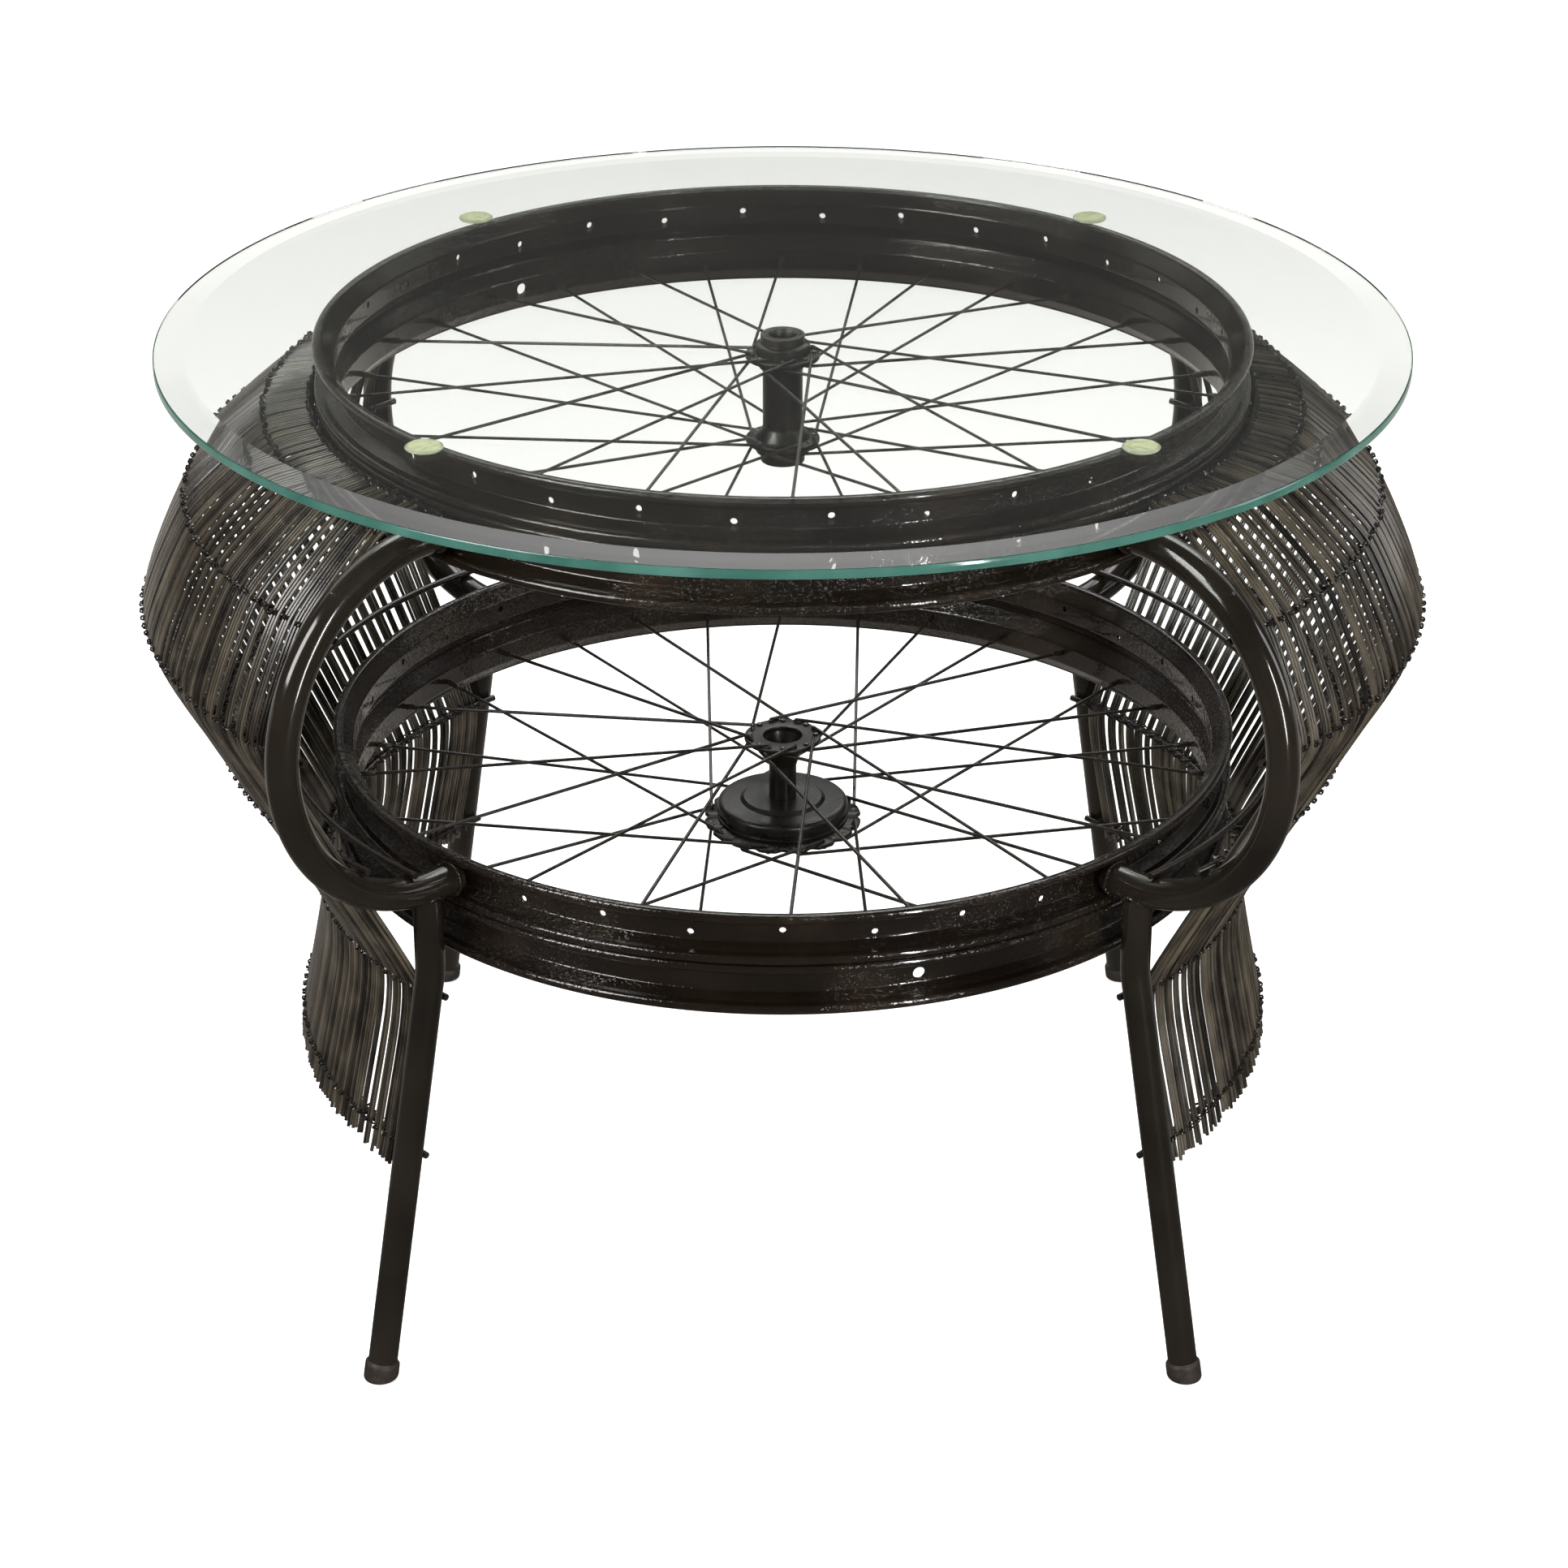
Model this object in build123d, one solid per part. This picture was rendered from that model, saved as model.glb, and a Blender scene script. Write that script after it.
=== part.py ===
from build123d import *
import os
from math import acos, cos, degrees, hypot, radians, sin, sqrt

# Round glass coffee table on a frame of old bicycle wheels, bent tube and tied cane.
# Millimetres, Z up, floor at zero. The Z axis runs through the centre of the glass,
# and the common axis of the two wheels stands a little behind it.

# Fits shared by all pieces
clearance = 0.3
overrun = 60.0

# Lacing: spokes in a wheel, and how many spokes of its flange each one crosses
spoke_count = 32
cross_count = 3
wire_diameter = 2.0
nipple_diameter = 4.4
nipple_length = 12.0
hole_stagger = 2.0
spoke_hole_width = 4.4
valve_hole_diameter = 8.5

# Rims: a rolled bead on each side, a tyre channel between them, thin sheet everywhere
rim_radius = 325.0
rim_width = 37.0
bead_width = 7.0
bead_depth = 6.5
bead_round = 1.5
channel_depth = 13.0
channel_floor = 13.0
rim_sheet = 2.0

# The wheels' axis stands behind the glass's centre
wheel_axis_y = 15.0

# Scroll tubes, one at each corner
tube_diameter = 22.2
tube_azimuth = 46.0
scroll_reach = 10.0

# Legs and their rubber caps
leg_diameter = 20.5
leg_inset = 9.0
knee_height = 300.0
knee_radius = 70.0
foot_spread = 80.6
cap_height = 12.0
cap_wall = 1.9
cap_floor = 3.0

# Heights of the two pairs of rims above the knees and above each other
knee_to_lower_pair = 7.0
lower_to_upper_pair = 287.0

# Rods that carry the cane, with the angle of each about the scroll tube's centre
rod_diameter = 5.0
rod_stub = 3.0
row_b_angle = 45.0
row_c_angle = 2.0
row_d_angle = -55.0
row_bare_angle = -78.0
row_a_rise = 5.0
row_a_reach = 33.0
row_e_drop = 23.0
row_f_drop = 138.0
apron_tuck = 9.0

# Cane: strands lie in touching pairs
pair_count = 50
strand_diameter = 3.2
strand_tail = 20.0
cane_bow = 12.0
waist_drop = 60.0
waist_tuck = 5.0

# Upper hub, a plain shell with its bearings taken out
upper_flange_diameter = 52.0
upper_flange_gap = 62.0
upper_flange_lift = 2.5
flange_thickness = 3.5
upper_barrel_diameter = 28.0
upper_collar_diameter = 38.0
upper_collar_height = 8.0
upper_neck_diameter = 31.0
upper_neck_height = 6.0
upper_bore = 16.0
cup_diameter = 25.0
cup_depth = 9.0
cup_wall = 2.2

# Lower hub, with a brake drum below
lower_flange_diameter = 56.0
lower_flange_rise = 32.5
lower_eye_diameter = 28.0
lower_barrel_diameter = 20.0
lower_barrel_wall = 3.0
lower_cone_height = 20.0
drum_diameter = 96.0
drum_rise = -14.5
drum_height = 14.0
drum_round = 6.0
drum_ring_diameter = 62.0
drum_ring_height = 2.5
spoke_plate_diameter = 115.0
scallop_diameter = 12.0
scallop_count = 16
back_plate_diameter = 88.0
back_plate_thickness = 5.0

# Glass with a ground bevel, on soft round pads
glass_radius = 430.6
glass_thickness = 8.0
glass_edge = 6.2
bevel_width = 22.0
glass_arris = 0.8
pad_diameter = 26.0
pad_height = 2.6
pad_round = 1.0
pad_overhang = 5.0

# Sizes worked out from the ones above
lower_spoked_z = knee_height + knee_to_lower_pair + rim_width / 2
lower_open_z = lower_spoked_z + rim_width
upper_spoked_z = lower_spoked_z + lower_to_upper_pair
upper_open_z = upper_spoked_z + rim_width
rim_top_z = upper_open_z + rim_width / 2
glass_underside = rim_top_z + pad_height
well_radius = rim_radius - channel_depth - rim_sheet
tube_radius = tube_diameter / 2
leg_radius = leg_diameter / 2
rod_radius = rod_diameter / 2
scroll_r = rim_radius + scroll_reach
scroll_z = (upper_spoked_z + lower_open_z) / 2
scroll_radius = (upper_spoked_z - lower_open_z) / 2
tube_end_r = rim_radius - bead_depth + clearance
leg_r = scroll_r + leg_inset
foot_radius = rim_radius + foot_spread
leg_lean = (foot_radius - leg_r) / knee_height
row_e_height = knee_height - row_e_drop
row_f_height = knee_height - row_f_drop
waist_height = knee_height - waist_drop
upper_flange_z = upper_spoked_z + upper_flange_lift + upper_flange_gap / 2
under_flange_z = upper_spoked_z + upper_flange_lift - upper_flange_gap / 2
lower_flange_z = lower_spoked_z + lower_flange_rise
drum_top_z = lower_spoked_z + drum_rise
spoke_plate_z = drum_top_z - drum_height - drum_ring_height - flange_thickness
hole_inset = wire_diameter * 2

half_turn = 180.0
full_turn = 360.0
round_side_count = 6
nipple_side_count = 4


def spin(points):
    """Turn an outline of radius and height pairs about the wheels' axis."""
    return revolve(make_face(Plane.XZ * Polyline(*points, close=True)), Axis.Z)


def at_azimuth(angle, shape):
    """Swing a shape made in the XZ plane round to its azimuth."""
    return Rot(0, 0, angle) * shape


def bar(start, end, width, sides):
    """Straight bar of a few flat sides between two points."""
    start = Vector(*start)
    run = Vector(*end) - start
    return extrude(Plane(origin=start, z_dir=run) * RegularPolygon(width / 2, sides), run.length)


def around(radius, angle, z):
    """Point at a radius, an azimuth and a height."""
    return (radius * cos(radians(angle)), radius * sin(radians(angle)), z)


def rim_outline(mid_z):
    """Section of a rim: channel, two rolled beads and the sheet that joins them."""
    half = rim_width / 2
    upper = [
        (rim_radius - channel_depth, channel_floor / 2),
        (rim_radius - bead_depth, half - bead_width),
        (rim_radius, half - bead_width + bead_round),
        (rim_radius, half - bead_round),
        (rim_radius - bead_depth / 2, half),
        (well_radius, channel_floor / 2 + rim_sheet / 2),
    ]
    lower = [(r, -z) for r, z in reversed(upper)]
    return [(r, mid_z + z) for r, z in upper + lower]


def rim(mid_z):
    return spin(rim_outline(mid_z))


def rim_hole_angles(first):
    """Azimuths of the spoke holes, and the side to which each is staggered."""
    pitch = full_turn / spoke_count
    return [(first + index * pitch, hole_stagger * (-1) ** index) for index in range(spoke_count)]


def open_rim(mid_z, first_hole):
    """Rim without spokes, whose holes let the light through."""
    body = rim(mid_z)
    punch = Box(rim_sheet * 3, spoke_hole_width, spoke_hole_width)
    for angle, side in rim_hole_angles(first_hole):
        body -= at_azimuth(angle, Pos(well_radius + rim_sheet / 2, 0, mid_z + side) * punch)
    return body


def spoked_rim(mid_z, valve_angle):
    """Rim that carries the spokes, with its valve hole."""
    inner = well_radius - rim_sheet
    outer = rim_radius - channel_depth + rim_sheet
    hole = bar(around(inner, valve_angle, mid_z), around(outer, valve_angle, mid_z),
               valve_hole_diameter, round_side_count)
    return rim(mid_z) - hole


def edge_run(hub, seat, edge_radius):
    """How far a spoke runs from its hole to the edge of its flange, seen from above."""
    run = hypot(seat[0] - hub[0], seat[1] - hub[1])
    way = ((seat[0] - hub[0]) / run, (seat[1] - hub[1]) / run)
    toward = hub[0] * way[0] + hub[1] * way[1]
    return sqrt(toward ** 2 + edge_radius ** 2 - hub[0] ** 2 - hub[1] ** 2) - toward, run


def spoke_lines(rim_z, flange_z, flange_radius, first_angle):
    """Ends of the spokes of one flange: hub end, and seat on the rim's inner wall."""
    pitch = 2 * full_turn / spoke_count
    sweep_angle = pitch * cross_count
    hole_circle = flange_radius - hole_inset
    outward = 1 if flange_z > rim_z else -1
    seat_radius = well_radius - clearance - nipple_diameter / 2 * hole_circle / well_radius
    seat_z = rim_z + outward * hole_stagger
    lines = []
    for index in range(spoke_count // 2):
        turn = 1 if index % 2 else -1
        hub_angle = first_angle + index * pitch
        seat = around(seat_radius, hub_angle - turn * sweep_angle, seat_z)
        hub = around(hole_circle, hub_angle, 0)
        inside, run = edge_run(hub, seat, flange_radius)
        lift = flange_thickness / 2 + wire_diameter / 2 + clearance / 2
        if turn == outward:
            lift += inside * abs(flange_z - seat_z) / (run - inside)
        lines.append(((hub[0], hub[1], flange_z + turn * lift), seat))
    return lines


def along(start, end, distance_from_end):
    """Point on a line, a distance short of its end."""
    run = Vector(*end) - Vector(*start)
    point = Vector(*end) - run.normalized() * distance_from_end
    return (point.X, point.Y, point.Z)


def spokes(lines):
    """Straight wires from the hub to their nipples."""
    return Compound([bar(hub, along(hub, seat, nipple_length), wire_diameter, round_side_count)
                     for hub, seat in lines])


def nipples(lines):
    """Spoke nipples standing on the rim's inner wall."""
    return Compound([bar(along(hub, seat, nipple_length), seat, nipple_diameter, nipple_side_count)
                     for hub, seat in lines])


def upper_lines():
    radius = upper_flange_diameter / 2
    half_pitch = full_turn / spoke_count
    return (spoke_lines(upper_spoked_z, upper_flange_z, radius, 0)
            + spoke_lines(upper_spoked_z, under_flange_z, radius, half_pitch))


def lower_lines():
    half_pitch = full_turn / spoke_count
    plate_mid = spoke_plate_z + flange_thickness / 2
    return (spoke_lines(lower_spoked_z, lower_flange_z, lower_flange_diameter / 2, 0)
            + spoke_lines(lower_spoked_z, plate_mid, spoke_plate_diameter / 2, half_pitch))


def upper_hub():
    """Spool with two flanges and stepped collars, hollow where the axle and bearings were."""
    top = upper_flange_z + flange_thickness / 2
    bottom = under_flange_z - flange_thickness / 2
    flange = upper_flange_diameter / 2
    collar = upper_collar_diameter / 2
    neck = upper_neck_diameter / 2
    barrel = upper_barrel_diameter / 2
    seat = cup_diameter / 2
    high = top + upper_collar_height + upper_neck_height
    low = bottom - upper_collar_height - upper_neck_height
    return spin([
        (seat, high), (neck, high), (neck, high - upper_neck_height), (collar, top), (flange, top),
        (flange, top - flange_thickness), (collar, top - flange_thickness),
        (barrel, top - flange_thickness - upper_collar_height),
        (barrel, bottom + flange_thickness + upper_collar_height),
        (collar, bottom + flange_thickness), (flange, bottom + flange_thickness),
        (flange, bottom), (collar, bottom),
        (neck, low + upper_neck_height), (neck, low), (seat, low), (seat, low + cup_depth),
        (upper_bore / 2, low + cup_depth), (upper_bore / 2, high - cup_depth),
        (seat, high - cup_depth),
    ])


def upper_cups():
    """Two pressed bearing cups in the ends of the upper hub."""
    top = upper_flange_z + flange_thickness / 2 + upper_collar_height + upper_neck_height
    bottom = under_flange_z - flange_thickness / 2 - upper_collar_height - upper_neck_height
    outside = cup_diameter / 2 - clearance
    inside = outside - cup_wall
    cups = []
    for mouth, way in ((top, -1), (bottom, 1)):
        back = mouth + way * (cup_depth - clearance)
        cups.append(spin([(inside, mouth), (outside, mouth), (outside, back), (upper_bore / 2, back)]))
    return Compound(cups)


def lower_hub():
    """Top flange with its eye, and the cone and barrel that stand on the drum."""
    top = lower_flange_z + flange_thickness / 2
    under = top - flange_thickness
    flange = lower_flange_diameter / 2
    eye = lower_eye_diameter / 2
    barrel = lower_barrel_diameter / 2
    foot = drum_top_z + clearance
    bore = barrel - lower_barrel_wall
    return spin([
        (eye, top), (flange, top), (flange, under), (eye + lower_barrel_wall, under),
        (barrel, under - lower_cone_height), (barrel, foot), (bore, foot),
        (bore, under - lower_cone_height), (eye, under),
    ])


def brake_drum():
    """Drum with a rounded shoulder and a raised ring round its middle."""
    outside = drum_diameter / 2
    ring = drum_ring_diameter / 2
    base = drum_top_z - drum_height - drum_ring_height
    shoulder = drum_top_z - drum_ring_height
    bore = lower_barrel_diameter / 2 - lower_barrel_wall
    return spin([
        (bore, drum_top_z), (ring - drum_ring_height, drum_top_z), (ring, shoulder),
        (outside - drum_round, shoulder), (outside - drum_round / 3, shoulder - drum_round / 3),
        (outside, shoulder - drum_round), (outside, base), (bore, base),
    ])


def spoke_plate():
    """Large spoke flange with a scalloped edge, under the drum."""
    plate = Cylinder(spoke_plate_diameter / 2, flange_thickness,
                     align=(Align.CENTER, Align.CENTER, Align.MIN))
    plate -= Cylinder(lower_barrel_diameter / 2 - lower_barrel_wall, overrun)
    reach = spoke_plate_diameter / 2 + scallop_diameter / 4
    notch = extrude(RegularPolygon(scallop_diameter / 2, round_side_count), overrun, both=True)
    pitch = full_turn / scallop_count
    for index in range(scallop_count):
        plate -= at_azimuth((index + 1 / 2) * pitch, Pos(reach, 0, 0) * notch)
    return Pos(0, 0, spoke_plate_z) * Rot(0, 0, pitch / 2) * plate


def back_plate():
    """Brake plate that closes the drum from below."""
    top = spoke_plate_z - clearance
    outside = back_plate_diameter / 2
    bore = lower_barrel_diameter / 2 - lower_barrel_wall
    low = top - back_plate_thickness
    neck = lower_barrel_diameter / 2 + lower_barrel_wall
    return spin([
        (bore, top), (outside, top), (outside, top - back_plate_thickness / 2),
        (outside - back_plate_thickness, low), (neck, low), (neck, low - back_plate_thickness),
        (bore, low - back_plate_thickness),
    ])


def scroll_end(z, width):
    """Circle across the tube where its bend starts, and the short straight end from there."""
    section = Plane(origin=(scroll_r, 0, z), z_dir=(1, 0, 0)) * Circle(width / 2)
    return section, extrude(section, tube_end_r - scroll_r)


def scroll_tube(width):
    """Tube bent to a C, in the XZ plane, whose straight ends reach into the tyre channels."""
    section, top = scroll_end(upper_spoked_z, width)
    bend = revolve(section, Axis((scroll_r, 0, scroll_z), (0, 1, 0)), half_turn)
    return bend + top + scroll_end(lower_open_z, width)[1]


def leg_path():
    """Short upright below the scroll tube, then a straight run out to the floor."""
    top = (leg_r, lower_open_z)
    low = cap_floor
    foot = (foot_radius - leg_lean * low, low)
    return Plane.XZ * FilletPolyline(top, (leg_r, knee_height), foot, radius=knee_radius)


def leg_blank(width):
    path = leg_path()
    section = Plane(origin=path @ 0, z_dir=path % 0) * Circle(width / 2)
    return sweep(section, path=path)


def leg():
    """Leg with a fish-mouth top that saddles the scroll tube."""
    blank = leg_blank(leg_diameter) - scroll_tube(tube_diameter + 2 * clearance)
    return blank.solids().sort_by(SortBy.VOLUME)[-1]


def foot_cap():
    """Rubber cap pushed over the leg, flat where it stands."""
    axis = Vector(leg_lean, 0, -1).normalized()
    start = Vector(foot_radius, 0, 0) - axis * cap_height
    width = leg_diameter + 2 * cap_wall
    body = extrude(Plane(origin=start, z_dir=axis) * Circle(width / 2), cap_height + cap_wall * 2)
    body &= Pos(foot_radius, 0, 0) * Box(overrun, overrun, overrun,
                                         align=(Align.CENTER, Align.CENTER, Align.MIN))
    return body - leg_blank(leg_diameter + 2 * clearance)


def scroll_point(angle, reach):
    """Radius and height of a point at an angle and a distance from the scroll's centre."""
    return (scroll_r + reach * cos(radians(angle)), scroll_z + reach * sin(radians(angle)))


def leg_centre(z):
    """Radius of the leg's centre line below its knee."""
    return foot_radius - leg_lean * z


def leg_side(z):
    """Radius of a rod that lies against the inner side of the leg."""
    slope = sqrt(1 + leg_lean ** 2)
    return leg_centre(z) - (leg_radius + rod_radius + clearance) * slope


inner_reach = scroll_radius - tube_radius - rod_radius - clearance
flank_reach = scroll_radius + row_a_rise
row_top = (rim_radius + rod_radius + clearance, upper_spoked_z + rim_width / 2 - bead_width - rod_radius)
row_a_angle = degrees(acos((row_a_reach - scroll_reach) / flank_reach))
row_a = scroll_point(row_a_angle, flank_reach)
row_b = scroll_point(row_b_angle, inner_reach)
row_c = scroll_point(row_c_angle, inner_reach)
row_d = scroll_point(row_d_angle, inner_reach)
row_bare = scroll_point(row_bare_angle, inner_reach)
row_e = (leg_side(row_e_height), row_e_height)
row_f_side = leg_side(row_f_height)


def arc_rod(place, half_span, centre_x=0):
    """Rod bent to an arc in a level plane, centred on the X axis."""
    radius, z = place
    section = Pos(radius, 0, z) * Rot(90, 0, 0) * RegularPolygon(rod_radius, round_side_count)
    axis = Axis((centre_x, 0, 0), (0, 0, 1))
    return revolve(section.rotate(axis, -half_span), axis, 2 * half_span)


def stub_span(radius, holder_radius):
    """Half angle of a rod that passes its two holders and sticks out a little."""
    return tube_azimuth + degrees((holder_radius + rod_stub) / radius)


def butt_span(radius, rise):
    """Half angle of a rod that ends at the flanks of the two scroll tubes."""
    flank = sqrt(tube_radius ** 2 - (rise - rod_radius) ** 2) + clearance
    return tube_azimuth - degrees(flank / radius)


def apron_arc():
    """Middle radius, centre and half angle of the lowest rod, which is bent flatter."""
    middle = row_f_side - apron_tuck
    side_x = row_f_side * cos(radians(tube_azimuth))
    side_y = row_f_side * sin(radians(tube_azimuth))
    centre = (side_x ** 2 + side_y ** 2 - middle ** 2) / (2 * (side_x - middle))
    bend = middle - centre
    half = degrees(acos((side_x - centre) / bend)) + degrees((leg_radius + rod_stub) / bend)
    return middle, centre, half


def apron_radius(angle):
    """Distance of the lowest rod from the wheels' axis at an azimuth of the panel."""
    middle, centre, half = apron_arc()
    bend = middle - centre
    across = centre * sin(radians(angle))
    return centre * cos(radians(angle)) + sqrt(bend ** 2 - across ** 2)


def panel_rods():
    """Eight rods of one panel: two butt on the tubes, four hang inside them, two on the legs."""
    middle, centre, half = apron_arc()
    top_rise = row_top[1] - upper_spoked_z
    rods = [
        arc_rod(row_top, butt_span(row_top[0], top_rise)),
        arc_rod(row_a, butt_span(row_a[0], row_a_rise)),
    ]
    rods += [arc_rod(row, stub_span(row[0], tube_radius)) for row in (row_b, row_c, row_d, row_bare)]
    rods.append(arc_rod(row_e, stub_span(row_e[0], leg_radius)))
    rods.append(arc_rod((middle, row_f_height), half, centre))
    return rods


def cane_line(angle):
    """Line through the rods that one pair of strands follows, from the rim to the hem."""
    low = apron_radius(angle)
    bow_reach = hypot(row_c[0] - scroll_r, row_c[1] - scroll_z)
    bow = scroll_point((row_c_angle + row_d_angle) / 2, bow_reach - cane_bow)
    waist_r = (row_e[0] + low) / 2 - waist_tuck
    flare = (low - waist_r) / (waist_height - row_f_height)
    tail = (low + strand_tail * flare, row_f_height - strand_tail)
    return [row_top, row_a, row_b, row_c, bow, row_d, row_e, (waist_r, waist_height), tail]


def offset_line(points, distance):
    """Line beside another at one distance on its outer side, with mitred corners."""
    shifted = []
    for index, (r, z) in enumerate(points):
        before = points[max(index - 1, 0)]
        after = points[min(index + 1, len(points) - 1)]
        ways = []
        for first, last in ((before, (r, z)), ((r, z), after)):
            length = hypot(last[0] - first[0], last[1] - first[1])
            if length > 0:
                ways.append(((first[1] - last[1]) / length, (last[0] - first[0]) / length))
        normal = (sum(way[0] for way in ways), sum(way[1] for way in ways))
        size = hypot(*normal)
        normal = (normal[0] / size, normal[1] / size)
        miter = distance / (normal[0] * ways[0][0] + normal[1] * ways[0][1])
        shifted.append((r + normal[0] * miter, z + normal[1] * miter))
    return shifted


def cane_pair(angle):
    """Two touching strands as one flat ribbon over the outer side of the rods."""
    line = cane_line(angle)
    inner = offset_line(line, rod_radius + clearance)
    outer = offset_line(line, rod_radius + clearance + strand_diameter)
    outline = Plane.XZ * Polyline(*inner, *reversed(outer), close=True)
    return at_azimuth(angle, extrude(make_face(outline), strand_diameter, both=True))


def panel_cane():
    """All the strand pairs of one panel, evenly spread between the scroll tubes."""
    margin = degrees((tube_radius + strand_diameter + rod_diameter) / (scroll_r + scroll_radius))
    span = 2 * (tube_azimuth - margin)
    pitch = span / (pair_count - 1)
    return [cane_pair(-span / 2 + index * pitch) for index in range(pair_count)]


def glass_top():
    """Disc with a wide ground bevel on its upper edge."""
    low = glass_underside
    edge = low + glass_edge
    high = low + glass_thickness
    return spin([
        (0, low), (glass_radius - glass_arris, low), (glass_radius, low + glass_arris),
        (glass_radius, edge), (glass_radius - bevel_width, high), (0, high),
    ])


def glass_pads():
    """Soft round pads on the top bead, one over each scroll tube."""
    half = pad_diameter / 2
    pad = spin([(0, 0), (half, 0), (half, pad_height - pad_round),
                (half - pad_round, pad_height), (0, pad_height)])
    reach = rim_radius + pad_overhang
    return Compound([at_azimuth(angle, Pos(reach, 0, rim_top_z) * pad) for angle in corner_azimuths()])


def corner_azimuths():
    """Azimuths of the four scroll tubes."""
    return [tube_azimuth, half_turn - tube_azimuth, half_turn + tube_azimuth, -tube_azimuth]


def save(name, shape, centre_y=wheel_axis_y):
    """Write one node, moved from the wheels' axis to its place behind the glass's centre."""
    export_step(Pos(0, centre_y, 0) * shape, "parts/" + name + ".step")


def main():
    os.makedirs("parts", exist_ok=True)
    half_pitch = full_turn / spoke_count / 2
    upper = upper_lines()
    lower = lower_lines()
    save("glass_top", glass_top(), 0)
    save("glass_pads", glass_pads())
    save("upper_open_rim", open_rim(upper_open_z, half_pitch))
    save("upper_spoked_rim", spoked_rim(upper_spoked_z, half_turn - half_pitch * 9))
    save("lower_open_rim", open_rim(lower_open_z, 0))
    save("lower_spoked_rim", spoked_rim(lower_spoked_z, -half_turn / 2 + half_pitch * 3))
    save("upper_spokes", spokes(upper))
    save("upper_nipples", nipples(upper))
    save("upper_hub_shell", upper_hub())
    save("upper_hub_cups", upper_cups())
    save("lower_spokes", spokes(lower))
    save("lower_nipples", nipples(lower))
    save("lower_hub_shell", lower_hub())
    save("brake_drum", brake_drum())
    save("spoke_plate", spoke_plate())
    save("brake_back_plate", back_plate())
    corner_names = ["back_right", "back_left", "front_left", "front_right"]
    tube = scroll_tube(tube_diameter)
    one_leg = leg()
    cap = foot_cap()
    for corner, angle in zip(corner_names, corner_azimuths()):
        save("scroll_tube_" + corner, at_azimuth(angle, tube))
        save("leg_" + corner, at_azimuth(angle, one_leg))
        save("foot_cap_" + corner, at_azimuth(angle, cap))
    rods = panel_rods()
    cane = panel_cane()
    for side, angle in (("right", 0), ("left", half_turn)):
        save("cane_rods_" + side, at_azimuth(angle, Compound(rods)))
        save("cane_strands_" + side, at_azimuth(angle, Compound(cane)))


main()
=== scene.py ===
import math

import bmesh
import bpy
import numpy as np
from bpy.props import FloatProperty, IntProperty, PointerProperty
from bpy.types import Operator, Panel, PropertyGroup
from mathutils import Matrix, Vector


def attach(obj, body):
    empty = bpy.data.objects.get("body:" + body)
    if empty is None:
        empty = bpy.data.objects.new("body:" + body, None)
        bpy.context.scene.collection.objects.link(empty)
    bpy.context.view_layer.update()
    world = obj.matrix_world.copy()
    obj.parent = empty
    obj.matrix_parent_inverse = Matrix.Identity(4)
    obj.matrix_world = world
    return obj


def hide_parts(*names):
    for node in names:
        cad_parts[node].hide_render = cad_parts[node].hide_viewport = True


bl_info = {
    "name": "Wheel coffee table",
    "version": (1, 0, 0),
    "blender": (4, 5, 0),
    "location": "View3D > Sidebar > Table",
    "description": "Dresses a glass coffee table on bicycle wheels with sides of tied cane",
    "category": "Add Mesh",
}

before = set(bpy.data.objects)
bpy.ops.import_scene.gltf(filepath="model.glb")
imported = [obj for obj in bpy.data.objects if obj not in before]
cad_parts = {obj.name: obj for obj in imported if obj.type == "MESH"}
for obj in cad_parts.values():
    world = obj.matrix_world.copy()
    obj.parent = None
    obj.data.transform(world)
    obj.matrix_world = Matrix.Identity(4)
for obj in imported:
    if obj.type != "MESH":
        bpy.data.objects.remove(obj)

CORNERS = {"back_right": 1, "back_left": 3, "front_left": 5, "front_right": 7}


def length(name, description, default):
    """A length in metres."""
    return FloatProperty(name=name, description=description, default=default, unit="LENGTH", precision=5)


def turn(name, description, degrees):
    """An angle, given in degrees and kept in radians."""
    return FloatProperty(name=name, description=description, default=math.radians(degrees), unit="ROTATION")


def number(name, description, default):
    """A plain number."""
    return FloatProperty(name=name, description=description, default=default)


def count(name, description, default):
    """A number of copies or steps."""
    return IntProperty(name=name, description=description, default=default, min=1)


class WheelSizes(PropertyGroup):
    axis_y: length("Axis", "Distance of the wheels' axis behind the glass's centre", 0.015)
    radius: length("Radius", "Outside radius over the beads", 0.325)
    width: length("Width", "Width of one rim", 0.037)
    bead_width: length("Bead width", "Width of a rolled bead", 0.007)
    bead_depth: length("Bead depth", "Depth of a rolled bead", 0.0065)
    channel_depth: length("Channel depth", "Depth of the tyre channel", 0.013)
    channel_floor: length("Channel floor", "Width of the channel's floor", 0.013)
    sheet: length("Sheet", "Thickness of the rim's sheet", 0.002)
    lower_height: length("Lower pair", "Height of the lower pair of rims", 0.307)
    upper_height: length("Upper pair", "Height of the upper pair of rims", 0.594)
    spokes: count("Spokes", "Spokes in a wheel", 32)
    crossings: count("Crossings", "Spokes of its flange that each spoke crosses", 3)
    wire: length("Wire", "Diameter of a spoke", 0.002)
    enamel: length("Enamel", "Thickness of the enamel on a lower spoke", 0.0003)
    nipple: length("Nipple", "Diameter of a nipple", 0.0044)
    nipple_length: length("Nipple length", "Length of a nipple", 0.012)
    stagger: length("Stagger", "Distance of a spoke hole from the rim's middle", 0.002)
    hole: length("Spoke hole", "Diameter of an open spoke hole", 0.0046)
    valve_hole: length("Valve hole", "Diameter of the valve hole", 0.0085)


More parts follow.
